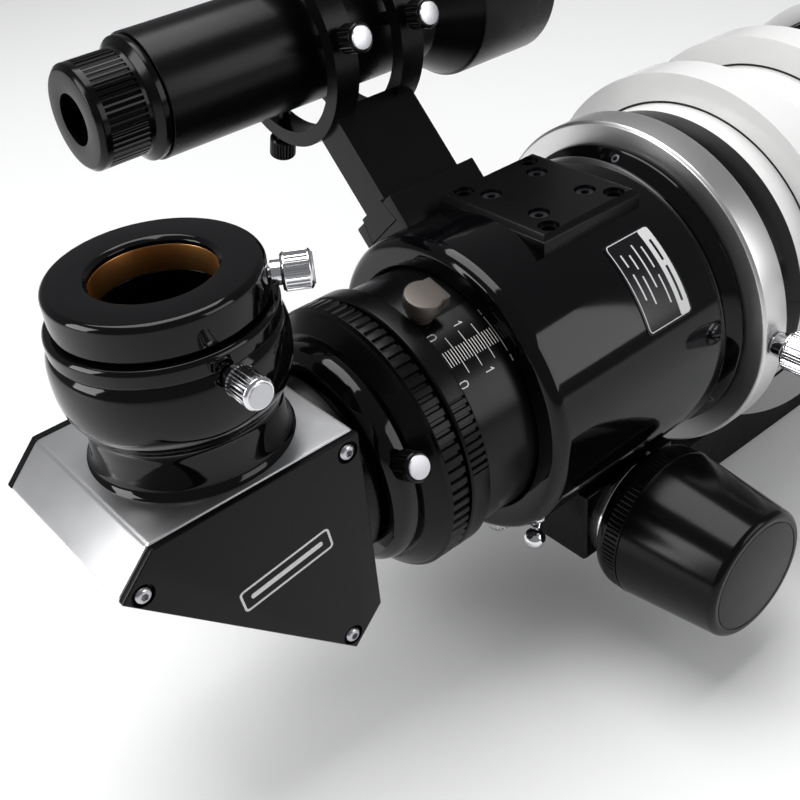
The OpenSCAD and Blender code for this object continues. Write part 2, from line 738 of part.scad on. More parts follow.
module nose_clamp() color("#0d0d0f") difference() {
  turned([
    [nose_bore_r, band_rear_x], [clamp_rear_r - 0.8, band_rear_x], [clamp_rear_r, band_rear_x + 0.7],
    [clamp_rear_r + 1.6, band_rear_x + 2.2], [clamp_r, band_rear_x + 4], [clamp_r, angle_ring_x],
    [nose_bore_r, angle_ring_x]
  ]);
  outward(clamp_screw_x, clamp_screw_a) rod(2.4, nose_bore_r - 1, clamp_r + 2);
}

module nose_clamp_screw() color("#202023") outward(clamp_screw_x, clamp_screw_a)
  thumb_screw(2, nose_r + 0.4, clamp_r + 0.4, 3.2, 1.6, 4.4, 8);

// ---------- diagonal ----------

optic_r = 22.5;
nose_flange_r = 29.5;
nose_end_x = 72;

module nosepiece() color("#0f0f11") turned([
  [optic_r, housing_half], [nose_flange_r, housing_half], [nose_flange_r, housing_half + 5.6],
  [nose_flange_r - 1, housing_half + 6.4], [nose_r, housing_half + 6.4], [nose_r, nose_end_x - 0.8],
  [nose_r - 0.8, nose_end_x], [optic_r, nose_end_x]
]);

// side view of the diagonal, as station and height
module diagonal_outline() polygon([
  [-housing_half, housing_half], [housing_half, housing_half], [housing_half, -housing_half],
  [housing_half - cut_in, -housing_half - cut_in], [-housing_half - cut_in, housing_half - cut_in]
]);

module diagonal_room() {
  low = housing_half - 1;
  high = housing_half - wall;
  polygon([[-low, high], [high, high], [high, -low], [low - 11.4, -low], [-low, low - 11.4]]);
}

// extrudes a side view across the diagonal between two Y values
module side_view(y0, y1) {
  spot(0, y1, 0) rotate([90, 0, 0]) linear_extrude(y1 - y0) children();
}

// local +Z runs up the eyepiece axis from the optical axis
module on_eyepiece() {
  spot(0, 0, 0) children();
}

module diagonal_housing() color("#c9cacc") difference() {
  side_view(-housing_w / 2, housing_w / 2) diagonal_outline();
  side_view(-housing_w / 2 - 1, housing_w / 2 + 1) diagonal_room();
  on_axis(0) rod(optic_r, 5, housing_half + 2);
  on_eyepiece() rod(optic_r, 5, housing_half + 2);
}

screw_spots = [[-36.3, 20], [27, 27], [20, -36.3]];

module side_plates() color("#0f0f11") for (s = [-1, 1]) difference() {
  side_view(s > 0 ? housing_w / 2 : -housing_w / 2 - side_t,
    s > 0 ? housing_w / 2 + side_t : -housing_w / 2)
    diagonal_outline();
  for (p = screw_spots) spot(p[0], 0, p[1]) rotate([90, 0, 0]) rod(1.5, -housing_w, housing_w);
}

module side_plate_screws() color("#bdbec2") for (s = [-1, 1]) for (p = screw_spots)
  spot(p[0], s * housing_w / 2, p[1]) rotate([-90 * s, 0, 0]) {
    rod(1.3, 0.02, side_t + 0.3);
    translate([0, 0, side_t]) cylinder(r1 = 2.5, r2 = 1.8, h = 1.3, $fn = 48);
  }

module diagonal_mirror() color("#dfe3e8") on_eyepiece() rotate([0, 45, 0]) translate([-30, -25, -8])
  cube([60, 50, 8]);

holder_bore_z = 48.5;

// a body turned about the eyepiece axis from [radius, height] points
module upright(points) {
  on_eyepiece() rotate_extrude($fn = 96) polygon(points);
}

holder_r = holder_d / 2;
holder_screw_z = 65;
holder_screw_a = -91;
adapter_screw_z = 76;
adapter_screw_a = -34;

// local +Z points outwards from the eyepiece axis at a height and heading
module from_eyepiece(z, a) {
  spot(0, 0, z) rotate([0, 90, a]) children();
}

module eyepiece_holder() color("#0c0c0e") difference() {
  upright([
    [optic_r, housing_half], [holder_neck_r + 1.8, housing_half], [holder_neck_r + 0.6, housing_half + 2.4],
    [holder_neck_r, housing_half + 6], [holder_neck_r, housing_half + 12.5],
    [holder_neck_r + 1.5, housing_half + 17],
    [holder_r - 1.8, housing_half + 20.5], [holder_r - 0.2, housing_half + 25],
    [holder_r, housing_half + 29],
    [holder_r - 0.3, housing_half + 33], [holder_r - 1.4, housing_half + 35],
    [holder_r - 1, housing_half + 36],
    [holder_r - 1.2, holder_top - 0.8], [holder_r - 2, holder_top], [nose_bore_r, holder_top],
    [nose_bore_r, holder_bore_z], [optic_r, holder_bore_z]
  ]);
  from_eyepiece(holder_screw_z, holder_screw_a) rod(2.4, nose_bore_r - 2, holder_r + 2);
}

module holder_screw() color("#d2d3d6") from_eyepiece(holder_screw_z, holder_screw_a)
  thumb_screw(2, nose_r + 0.4, holder_r + 0.4, 3, 2.2, 4.2, 9.6);

brass_z = adapter_top - 9.5;
brass_l = 7.4;
brass_t = 1;
adapter_bottom = holder_bore_z + 1.2;

module eyepiece_adapter() color("#0c0c0e") difference() {
  rim = adapter_d / 2;
  foot = holder_top + adapter_step;
  upright([
    [socket_r, adapter_bottom], [nose_r - 0.8, adapter_bottom], [nose_r, adapter_bottom + 0.8],
    [nose_r, foot],
    [rim - 0.8, foot], [rim, foot + 0.8], [rim, adapter_top - 1], [rim - 1, adapter_top],
    [socket_r + 0.8, adapter_top], [socket_r, adapter_top - 0.8], [socket_r, brass_z + brass_l],
    [socket_r + brass_t, brass_z + brass_l], [socket_r + brass_t, brass_z], [socket_r, brass_z]
  ]);
  from_eyepiece(adapter_screw_z, adapter_screw_a) rod(2.1, socket_r + brass_t - 0.2, rim + 2);
}

module adapter_clamp_ring() color("#b9803a") upright([
  [socket_r, brass_z], [socket_r + brass_t, brass_z], [socket_r + brass_t, brass_z + brass_l],
  [socket_r, brass_z + brass_l]
]);

module adapter_screw() color("#c9cacd") from_eyepiece(adapter_screw_z, adapter_screw_a)
  thumb_screw(1.7, socket_r + brass_t + 0.4, adapter_d / 2 + 0.4, 3.2, 2.6, 5, 8);

// ---------- finder ----------

finder_rings = [-13.5, 13.5];
finder_x = 48;
finder_tube_l = 104;
finder_cell_l = 34;
stem_w = 14;
finder_eye_r = 16.5;
finder_eye_l = 22;
finder_wall = 2;

// local frame on the finder's own axis; +Z runs to the sky from a station
module on_finder(x) {
  outward(x, finder_a) translate([0, 0, finder_r]) rotate([0, 90, 0]) children();
}

module finder_bracket() color("#121214") difference() {
  union() {
    outward(shoe_x, finder_a) {
      translate([-shoe_l / 2, 0, 0]) rotate([90, 0, 90]) linear_extrude(shoe_l - shoe_stop - slide_gap)
        dovetail(foot_base_w, foot_top_w, foot_z, foot_up);
      translate([-ring_half, -stem_w / 2, foot_up - tiny])
        cube([2 * ring_half, stem_w, finder_r - finder_ring_r - foot_up + 4]);
    }
    for (x = finder_rings) on_finder(shoe_x + x - finder_ring_w / 2)
      cylinder(r = finder_ring_r, h = finder_ring_w, $fn = 96);
  }
  on_finder(shoe_x - 2 * ring_half) cylinder(r = finder_ring_bore, h = 4 * ring_half, $fn = 96);
  finder_screw_spots() rod(2.2, finder_ring_bore - 3, finder_ring_r + 3);
}

module finder_screw_spots() for (x = finder_rings) for (a = [0, 120, 240])
  outward(shoe_x + x, finder_a) translate([0, 0, finder_r]) rotate([-a, 0, 0]) children();

module finder_screws() color("#1a1a1d") finder_screw_spots()
  thumb_screw(2.15, finder_r_body + 0.05, finder_ring_r + 1, 2.8, 1.6, 4.6, 8);

module finder_tube() color("#101012") {
  cell = finder_cell_d / 2;
  tube_end = finder_tube_l;
  on_finder(finder_x) rotate_extrude($fn = 96) polygon([
    [finder_r_body - finder_wall, 0], [finder_r_body, 0], [finder_r_body, tube_end],
    [cell - 1, tube_end + 14], [cell, tube_end + 15], [cell, tube_end + 15 + finder_cell_l],
    [cell - finder_wall, tube_end + 15 + finder_cell_l], [cell - finder_wall, tube_end + 16],
    [finder_r_body - finder_wall, tube_end + 1]
  ]);
}

finder_lens_r = finder_cell_d / 2 - finder_wall - 0.02;
finder_lens_x = finder_x + finder_tube_l + 32;

module finder_lens() color("#9fb4c8", 0.4) on_finder(finder_lens_x) rotate_extrude($fn = 96) polygon(concat(
  [[0, 0], [finder_lens_r, 0]],
  [for (i = [0 : 6]) [finder_lens_r * cos(15 * i), 4 + 3 * sin(15 * i)]]
));

module finder_eyepiece() color("#151517") on_finder(finder_x - finder_eye_l - 0.5)
  rotate_extrude($fn = 96) polygon([
  [8, 0], [finder_eye_r - 1.5, 0], [finder_eye_r, 1.5], [finder_eye_r, finder_eye_l - 4],
  [finder_r_body - 0.6, finder_eye_l - 2], [finder_r_body - 0.6, finder_eye_l],
  [finder_r_body - finder_wall - 0.4, finder_eye_l], [finder_r_body - finder_wall - 0.4, finder_eye_l + 12],
  [finder_r_body - finder_wall - 2, finder_eye_l + 12],
  [finder_r_body - finder_wall - 2, finder_eye_l - 2], [8, finder_eye_l - 6]
]);

dovetail_bar();
ring_bolts();
rear_ring_lower();
rear_ring_upper();
front_ring_lower();
front_ring_upper();
ring_hinge_pins();
ring_liners();
rear_clamp_knob();
front_clamp_knob();
main_tube();
rear_cell();
rotation_collar();
rotation_lock_screw();
tube_baffles();
lens_cell();
front_lens();
rear_lens();
lens_retainer();
dew_shield();
shield_front_ring();
shield_lock_screw();
focuser_barrel();
focuser_front_ring();
accessory_plate();
plate_screws();
label_plate();
pinion_housing();
pinion_washers();
finder_shoe();
shoe_lock_screw();
lock_lever();
tension_screw();
drawtube();
rack();
drawtube_knob();
lock_ring();
pinion_shaft();
near_focus_knob();
far_focus_knob();
fine_focus_knob();
angle_ring();
nose_clamp();
nose_clamp_screw();
nosepiece();
diagonal_housing();
side_plates();
side_plate_screws();
diagonal_mirror();
eyepiece_holder();
holder_screw();
eyepiece_adapter();
adapter_clamp_ring();
adapter_screw();
finder_bracket();
finder_screws();
finder_tube();
finder_lens();
finder_eyepiece();
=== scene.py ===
import math

import bmesh
import bpy
from mathutils import Matrix, Vector


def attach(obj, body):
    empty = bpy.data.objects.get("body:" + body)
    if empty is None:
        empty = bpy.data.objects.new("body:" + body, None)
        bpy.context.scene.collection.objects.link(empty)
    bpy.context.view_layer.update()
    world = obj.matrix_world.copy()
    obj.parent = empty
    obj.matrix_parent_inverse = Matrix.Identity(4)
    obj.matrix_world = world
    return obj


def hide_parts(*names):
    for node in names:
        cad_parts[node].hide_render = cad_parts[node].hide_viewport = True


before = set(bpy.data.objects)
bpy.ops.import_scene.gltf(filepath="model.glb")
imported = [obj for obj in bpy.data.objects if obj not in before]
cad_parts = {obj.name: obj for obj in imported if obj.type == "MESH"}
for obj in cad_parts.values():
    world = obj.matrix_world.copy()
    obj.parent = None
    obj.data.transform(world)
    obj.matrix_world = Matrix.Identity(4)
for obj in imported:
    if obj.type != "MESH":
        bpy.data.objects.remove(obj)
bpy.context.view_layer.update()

# ---------- the part's own numbers, in millimetres ----------

MM = 0.001
SETBACK = 272.0  # station of the frame's origin
AXIS_H = 89.5  # optical axis above the dovetail bar's bottom face
TUBE_R = 55.4
BARREL_R = 51.1
DRAW_R = 41.2
PINION_X = 129.5  # station of the focus shaft
PINION_Z = -48.0  # focus shaft from the optical axis
FINDER_LEAN = 44.0  # degrees from straight up
FINDER_R = 124.0  # finder's axis from the optical axis
HALF = 31.3  # half the diagonal's square side view
CUT = 10.7  # how far its slanted back stands out past the square
HOUSING_W = 59.8
SIDE_T = 2.3  # thickness of a side cover
PLATE_X = 131.7  # accessory plate
PLATE_Z = 45.0
PLATE_TOP = 52.0
BLOCK_FACE = 43.8  # pinion housing's side, from the middle
KNOB_Y = 46.8  # inner faces of both focus knobs, from the middle
SEAM_Y = 58.1  # groove round the near knob
KNOB_END = 92.2  # near knob's outer end
FAR_END = 76.8  # far knob's outer end
CLAMP_LUG_Y = -74.0
RING_STATIONS = {"rear": 212, "front": 256}
LABEL_X = 129.4
LABEL_L = 20.0
LABEL_A = (-33.0, -67.5)  # leans of the label's two edges

# segments round a turned piece
SEGS = 192
FINE = 288


def axes(origin, x_dir, z_dir):
    """Frame in metres with local X and Z along two directions, drawn in millimetres."""
    z = Vector(z_dir).normalized()
    x = Vector(x_dir)
    x = (x - z * x.dot(z)).normalized()
    y = z.cross(x)
    m = Matrix((x, y, z)).transposed().to_4x4()
    return Matrix.Translation(Vector(origin) * MM) @ m @ Matrix.Scale(MM, 4)


def place(station, y, z):
    return (station - SETBACK, y, AXIS_H + z)


def lean(a):
    r = math.radians(a)
    return (0, math.sin(r), math.cos(r))


OPTICAL = axes(place(0, 0, 0), (0, 0, 1), (1, 0, 0))
EYEPIECE = axes(place(0, 0, 0), (1, 0, 0), (0, 0, 1))
SHAFT_NEAR = axes(place(PINION_X, 0, PINION_Z), (1, 0, 0), (0, -1, 0))
SHAFT_FAR = axes(place(PINION_X, 0, PINION_Z), (1, 0, 0), (0, 1, 0))
LYING = EYEPIECE
ACROSS = axes(place(0, 0, 0), (0, 1, 0), (1, 0, 0))
SIDEWAYS = axes(place(0, 0, 0), (1, 0, 0), (0, -1, 0))
finder_side, finder_up = (FINDER_R * part for part in lean(FINDER_LEAN)[1:])
FINDER = axes(place(0, finder_side, finder_up), (0, 0, 1), (1, 0, 0))


def outward(station, a):
    return axes(place(station, 0, 0), (1, 0, 0), lean(a))


def from_eyepiece(z, heading):
    r = math.radians(heading)
    return axes(place(0, 0, z), (0, 0, 1), (math.cos(r), math.sin(r), 0))


# ---------- materials ----------

def node(tree, kind, **inputs):
    n = tree.nodes.new(kind)
    for key, value in inputs.items():
        n.inputs[key.replace("_", " ")].default_value = value
    return n


def surface(name, color, rough, metallic=0.0, coat=0.0, grain=0.0, grain_scale=900.0, lines=None,
    line_depth=0.0, spread=0.05, tint=0.25, coat_rough=0.05, shine=0.5):
    """Procedural finish: colour and roughness vary softly, fine grain or turned lines as bump.
    lines is the axis, 0 to 2, that turned marks step along."""
    mat = bpy.data.materials.new(name)
    mat.use_nodes = True
    tree = mat.node_tree
    bsdf = tree.nodes["Principled BSDF"]
    bsdf.inputs["Metallic"].default_value = metallic
    bsdf.inputs["Coat Weight"].default_value = coat
    bsdf.inputs["Coat Roughness"].default_value = coat_rough
    bsdf.inputs["Specular IOR Level"].default_value = shine
    coords = tree.nodes.new("ShaderNodeTexCoord")
    soft = node(tree, "ShaderNodeTexNoise", Scale=38.0, Detail=4.0, Roughness=0.6)
    tree.links.new(coords.outputs["Object"], soft.inputs["Vector"])
    ramp = tree.nodes.new("ShaderNodeMapRange")
    ramp.inputs["To Min"].default_value = max(0.02, rough - spread)
    ramp.inputs["To Max"].default_value = rough + spread
    tree.links.new(soft.outputs["Fac"], ramp.inputs["Value"])
    tree.links.new(ramp.outputs["Result"], bsdf.inputs["Roughness"])
    mix = tree.nodes.new("ShaderNodeMix")
    mix.data_type = "RGBA"
    dark = tuple(c * (1 - tint) for c in color)
    mix.inputs["A"].default_value = (*dark, 1)
    mix.inputs["B"].default_value = (*color, 1)
    tree.links.new(soft.outputs["Fac"], mix.inputs["Factor"])
    tree.links.new(mix.outputs["Result"], bsdf.inputs["Base Color"])
    height = None
    if grain:
        fine = node(tree, "ShaderNodeTexNoise", Scale=grain_scale, Detail=2.0, Roughness=0.5)
        tree.links.new(coords.outputs["Object"], fine.inputs["Vector"])
        height, depth = fine.outputs["Fac"], grain
    if lines is not None:
        mapping = tree.nodes.new("ShaderNodeMapping")
        scale = [6.0, 6.0, 6.0]
        scale[lines] = 2600.0
        mapping.inputs["Scale"].default_value = scale
        turned = node(tree, "ShaderNodeTexNoise", Scale=1.0, Detail=3.0, Roughness=0.7)
        tree.links.new(coords.outputs["Object"], mapping.inputs["Vector"])
        tree.links.new(mapping.outputs["Vector"], turned.inputs["Vector"])
        height, depth = turned.outputs["Fac"], line_depth
    if height is not None:
        bump = node(tree, "ShaderNodeBump", Strength=depth, Distance=0.0002)
        tree.links.new(height, bump.inputs["Height"])
        tree.links.new(bump.outputs["Normal"], bsdf.inputs["Normal"])
    return mat


def lens_glass(name, color):
    """Coated glass: clear from the front, with a faint coloured reflection."""
    mat = bpy.data.materials.new(name)
    mat.use_nodes = True
    tree = mat.node_tree
    bsdf = tree.nodes["Principled BSDF"]
    bsdf.inputs["Transmission Weight"].default_value = 0.92
    bsdf.inputs["IOR"].default_value = 1.5
    bsdf.inputs["Roughness"].default_value = 0.01
    coords = tree.nodes.new("ShaderNodeTexCoord")
    soft = node(tree, "ShaderNodeTexNoise", Scale=12.0, Detail=1.0, Roughness=0.4)
    tree.links.new(coords.outputs["Object"], soft.inputs["Vector"])
    mix = tree.nodes.new("ShaderNodeMix")
    mix.data_type = "RGBA"
    mix.inputs["A"].default_value = (*color, 1)
    mix.inputs["B"].default_value = (color[0] * 0.9, color[1], color[2] * 0.92, 1)
    tree.links.new(soft.outputs["Fac"], mix.inputs["Factor"])
    tree.links.new(mix.outputs["Result"], bsdf.inputs["Base Color"])
    return mat


GLOSS = surface("gloss_black", (0.0016, 0.0016, 0.0020), 0.07, grain=0.01, grain_scale=260,
    spread=0.02, shine=0.26)
ANODISED = surface("black_anodised", (0.0026, 0.0026, 0.0030), 0.27, grain=0.12, grain_scale=2400,
    shine=0.16)
RINGS = surface("turned_black", (0.0024, 0.0024, 0.0028), 0.24, lines=0, line_depth=0.06, shine=0.2)
FLAT_BLACK = surface("matte_black", (0.006, 0.006, 0.007), 0.62, grain=0.25, grain_scale=1800,
    shine=0.2)
KNOB = surface("knob_black", (0.0018, 0.0018, 0.0022), 0.16, grain=0.05, grain_scale=2200,
    spread=0.04, shine=0.17)
KNOB_END_MAT = surface("knob_end", (0.0030, 0.0030, 0.0040), 0.3, grain=0.2, grain_scale=2600,
    shine=0.16)
SILVER = surface("satin_silver", (0.72, 0.72, 0.73), 0.3, metallic=1.0, grain=0.1, grain_scale=3000,
    tint=0.06)
COLLAR = surface("turned_silver", (0.70, 0.69, 0.69), 0.34, metallic=1.0, grain=0.08,
    grain_scale=3400, spread=0.02, tint=0.03)
STEEL = surface("steel", (0.52, 0.52, 0.54), 0.26, metallic=1.0, grain=0.12, grain_scale=2600,
    tint=0.12)
STEEL_DARK = surface("dark_steel", (0.10, 0.10, 0.11), 0.34, metallic=1.0, grain=0.12,
    grain_scale=2600, tint=0.2)
GRIP = surface("grip_grey", (0.12, 0.105, 0.094), 0.36, metallic=0.7, grain=0.12, grain_scale=3000,
    tint=0.15)
LABEL_BLACK = surface("label_black", (0.004, 0.004, 0.006), 0.2, grain=0.03, grain_scale=900,
    shine=0.4)
CHROME = surface("chrome", (0.80, 0.80, 0.82), 0.09, metallic=1.0, grain=0.04, grain_scale=1500,
    spread=0.03, tint=0.06)
CAP = surface("screw_cap", (0.56, 0.56, 0.58), 0.38, metallic=1.0, grain=0.15, grain_scale=4200,
    tint=0.08)
BRASS = surface("brass", (0.78, 0.40, 0.13), 0.33, metallic=1.0, lines=2, line_depth=0.25,
    tint=0.15)
WHITE = surface("white_paint", (0.80, 0.80, 0.79), 0.2, coat=0.3, grain=0.06, grain_scale=700,
    tint=0.02)
FELT = surface("felt", (0.01, 0.01, 0.01), 0.95, grain=0.9, grain_scale=3200)
PRINT = surface("white_print", (0.62, 0.62, 0.62), 0.5, grain=0.05, grain_scale=3000, tint=0.04)
MIRROR = surface("mirror_face", (0.88, 0.89, 0.9), 0.03, metallic=1.0, grain=0.02, spread=0.01,
    tint=0.02)
LENS = lens_glass("lens_glass", (0.86, 0.95, 0.92))


# ---------- mesh helpers ----------

def made(name, bm, mat, body, replaced=(), angle=38):
    mesh = bpy.data.meshes.new(name)
    bmesh.ops.recalc_face_normals(bm, faces=bm.faces)
    bm.to_mesh(mesh)
    bm.free()
    mesh.shade_smooth()
    mesh.set_sharp_from_angle(angle=math.radians(angle))
    obj = bpy.data.objects.new(name, mesh)
    bpy.context.scene.collection.objects.link(obj)
    mesh.materials.append(mat)
    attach(obj, body)
    if replaced:
        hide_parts(*replaced)
    return obj


def soften(points, radius, steps=3):
    """Rounds each corner of a closed outline. A point's third number is its own radius."""
    out = []
    count = len(points)
    for i, p in enumerate(points):
        here = Vector(p[:2])
        before, after = Vector(points[i - 1][:2]), Vector(points[(i + 1) % count][:2])
        r = p[2] if len(p) > 2 else radius
        a, b = before - here, after - here
        if r <= 0 or here.x < 1e-6 or a.length < 1e-6 or b.length < 1e-6 or a.angle(b) > 3.05:
            out.append(tuple(here))
            continue
        cut = min(r, a.length * 0.45, b.length * 0.45)
        start, end = here + a.normalized() * cut, here + b.normalized() * cut
        for k in range(steps + 1):
            t = k / steps
            q = start * (1 - t) ** 2 + here * 2 * t * (1 - t) + end * t ** 2
            out.append(tuple(q))
    return out


def flowing(points, steps):
    """A smooth curve through the points."""
    padded = [points[0]] + list(points) + [points[-1]]
    out = []
    for a, b, c, d in zip(padded, padded[1:], padded[2:], padded[3:]):
        for k in range(steps):
            t = k / steps
            spot = []
            for p, q, r, s in zip(a, b, c, d):
                square, cube = 2 * p - 5 * q + 4 * r - s, 3 * q - p - 3 * r + s
                spot.append(0.5 * (2 * q + (r - p) * t + square * t ** 2 + cube * t ** 3))
            out.append(tuple(spot))
    return out + [points[-1]]


def ridge(theta, count, duty=0.5):
    """1 in the grooves of a straight knurl, 0 on its ridges."""
    t = (theta * count / (2 * math.pi)) % 1.0
    d = abs(t - 0.5) * 2
    return min(1.0, max(0.0, (d - (1 - duty)) / 0.22))


def lathe(name, points, matrix, mat, body, replaced=(), radius=0.3, segs=SEGS, knurls=(), angle=38,
    steps=3):
    """Turns a closed outline of (radius, station) about local Z.
    Each knurl is (low, high, outer radius, count, depth, mask)."""
    outline = soften(points, radius, steps)
    for low, high, outer, *_ in knurls:
        dense = []
        for i, p in enumerate(outline):
            q = outline[(i + 1) % len(outline)]
            dense.append(p)
            if p[0] > outer - 1.5 and q[0] > outer - 1.5:
                for cut in sorted((low, high), reverse=p[1] > q[1]):
                    if min(p[1], q[1]) + 1e-6 < cut < max(p[1], q[1]) - 1e-6:
                        t = (cut - p[1]) / (q[1] - p[1])
                        edge = (p[0] + (q[0] - p[0]) * t, cut)
                        nudge = 1e-3 if q[1] > p[1] else -1e-3
                        dense += [(edge[0], cut - nudge), (edge[0], cut + nudge)]
        outline = dense
    bm = bmesh.new()
    rings = []
    for r, s in outline:
        if r < 1e-6:
            rings.append([bm.verts.new((0, 0, s))])
            continue
        ring = []
        for k in range(segs):
            theta = 2 * math.pi * k / segs
            rr = r
            for low, high, outer, count, depth, mask in knurls:
                if low <= s <= high and r > outer - depth * 1.5:
                    groove = ridge(theta, count) * (mask(theta) if mask else 1)
                    rr = min(rr, outer - depth * groove)
            ring.append(bm.verts.new((rr * math.cos(theta), rr * math.sin(theta), s)))
        rings.append(ring)
    for i, a in enumerate(rings):
        b = rings[(i + 1) % len(rings)]
        if len(a) == 1 and len(b) == 1:
            continue
        for k in range(segs):
            n = (k + 1) % segs
            corner = [a[k % len(a)], a[n % len(a)], b[n % len(b)], b[k % len(b)]]
            unique = list(dict.fromkeys(corner))
            if len(unique) > 2:
                bm.faces.new(unique)
    bmesh.ops.transform(bm, matrix=matrix, verts=bm.verts)
    return made(name, bm, mat, body, replaced, angle)


def prism_mesh(outline, low, high, matrix, bevel, segments=3):
    bm = bmesh.new()
    bottom = [bm.verts.new((x, y, low)) for x, y in outline]
    face = bm.faces.new(bottom)
    top = bmesh.ops.extrude_face_region(bm, geom=[face])["geom"]
    moved = [v for v in top if isinstance(v, bmesh.types.BMVert)]
    bmesh.ops.translate(bm, verts=moved, vec=(0, 0, high - low))
    bmesh.ops.recalc_face_normals(bm, faces=bm.faces)
    if bevel:
        edges = [e for e in bm.edges if e.calc_face_angle(0) > 0.5]
        bmesh.ops.bevel(bm, geom=edges, offset=bevel, segments=segments, profile=0.6,
            affect="EDGES", clamp_overlap=True)
    bmesh.ops.transform(bm, matrix=matrix, verts=bm.verts)
    return bm


def prism(name, outline, low, high, matrix, mat, body, replaced=(), bevel=0.4, angle=38):
    return made(name, prism_mesh(outline, low, high, matrix, bevel), mat, body, replaced, angle)


def round_outline(r, count=64):
    return [
        (r * math.cos(2 * math.pi * k / count), r * math.sin(2 * math.pi * k / count))
        for k in range(count)
    ]


def rounded(w, h, r, steps=6):
    """Outline of a rectangle with round corners."""
    pts = []
    for sx, sy, start in ((1, 1, 0), (-1, 1, 90), (-1, -1, 180), (1, -1, 270)):
        cx, cy = sx * (w / 2 - r), sy * (h / 2 - r)
        for k in range(steps + 1):
            t = math.radians(start + 90 * k / steps)
            pts.append((cx + r * math.cos(t), cy + r * math.sin(t)))
    return pts


def carve(obj, cutters):
    """Takes plain cutter solids, as (outline, low, high, matrix), out of a piece."""
    for outline, low, high, matrix in cutters:
        mesh = bpy.data.meshes.new("cutter")
        bm = prism_mesh(outline, low, high, matrix, 0)
        bm.to_mesh(mesh)
        bm.free()
        tool = bpy.data.objects.new("cutter", mesh)
        bpy.context.scene.collection.objects.link(tool)
        mod = obj.modifiers.new("cut", "BOOLEAN")
        mod.object, mod.solver = tool, "EXACT"
        dg = bpy.context.evaluated_depsgraph_get()
        result = bpy.data.meshes.new_from_object(obj.evaluated_get(dg))
        obj.modifiers.clear()
        obj.data = result
        bpy.data.objects.remove(tool)
    obj.data.shade_smooth()
    obj.data.set_sharp_from_angle(angle=math.radians(30))
    return obj


def rect(w, h):
    return [(-w / 2, -h / 2), (w / 2, -h / 2), (w / 2, h / 2), (-w / 2, h / 2)]


def band(x0, x1, half):
    """Outline of a rectangle from x0 to x1, reaching half to each side."""
    return [(x0, -half), (x1, -half), (x1, half), (x0, half)]


def thumb(name, matrix, body, shank_r, tip, seat, shoulder_r, shoulder_l, head_r, head_l,
    mat=CHROME, cap=CAP, count=36, replaced=True):
    """Knurled thumbscrew with a slim neck and a plain end disc."""
    neck = seat + shoulder_l
    top = neck + head_l
    lathe(name + "_body", [
        (0, tip), (shank_r, tip), (shank_r, seat), (shoulder_r, seat), (shoulder_r, neck),
        (head_r - 0.5, neck), (head_r, neck + 0.7), (head_r, top - 0.9), (head_r - 0.6, top - 0.35),
        (0, top - 0.35)
    ], matrix, mat, body, (name,) if replaced else (), radius=0.15, segs=count * 6, knurls=[
        (neck + 1.0, top - 1.2, head_r, count, head_r * 0.07, None)
    ])
    lathe(name + "_cap", [
        (0, top - 0.36), (head_r - 0.9, top - 0.36), (head_r - 1.1, top), (0, top)
    ], matrix, cap, body, radius=0.15, segs=96)


def bored(obj, cuts):
    """Round holes through a piece, each (radius, low, high, matrix)."""
    return carve(obj, [(round_outline(r), low, high, m) for r, low, high, m in cuts])


def chain(*frames):
    """The frames applied one inside the next."""
    m = frames[0]
    for f in frames[1:]:
        m = m @ f
    return m


def shift(x, y, z):
    return Matrix.Translation((x, y, z))


def spin(a, axis):
    return Matrix.Rotation(math.radians(a), 4, axis)


def on_cylinder(bm, x, a, r):
    """Vertex at a station and a lean, r from the optical axis."""
    return bm.verts.new((x, r * math.sin(math.radians(a)), r * math.cos(math.radians(a))))


def patches(name, quads, low, high, mat, body, replaced=()):
    """Thin raised shapes on a cylinder about the optical axis.
    Each is four or more (station, lean) corners."""
    bm = bmesh.new()
    for quad in quads:
        layers = []
        for r in (low, high):
            layers.append([on_cylinder(bm, x, a, r) for x, a in quad])
        inner, outer = layers
        bm.faces.new(inner)
        bm.faces.new(list(reversed(outer)))
        for i in range(len(quad)):
            j = (i + 1) % len(quad)
            bm.faces.new((inner[i], outer[i], outer[j], inner[j]))
    bmesh.ops.transform(bm, matrix=LYING, verts=bm.verts)
    return made(name, bm, mat, body, replaced, angle=30)


def bar_quads(x0, x1, a0, a1, step=2.5):
    """One straight mark as quads that follow the curve."""
    count = max(1, math.ceil(abs(a1 - a0) / step))
    cuts = [a0 + (a1 - a0) * k / count for k in range(count + 1)]
    return [[(x0, p), (x1, p), (x1, q), (x0, q)] for p, q in zip(cuts, cuts[1:])]


def stroke_quads(points, x, a, width, height, thick, radius, closed=False):
    """A drawn line as quads. Points run 0 to 1 across and up; up is along the optical axis."""
    def spot(u, v):
        return x + (v - 0.5) * height, (0.5 - u) * width
    path = [Vector(spot(*p)) for p in points]
    if closed:
        path.append(path[0])
    quads = []
    dense = []
    for p, q in zip(path, path[1:]):
        count = max(1, math.ceil((q - p).length / 1.5))
        dense += [p.lerp(q, k / count) for k in range(count)]
    dense.append(path[-1])
    for p, q in zip(dense, dense[1:]):
        along = (q - p).normalized()
        side = Vector((-along.y, along.x)) * thick / 2
        end = along * thick / 2
        corners = (p - end + side, p - end - side, q + end - side, q + end + side)
        quads.append([(c.x, a + math.degrees(c.y / radius)) for c in corners])
    return quads


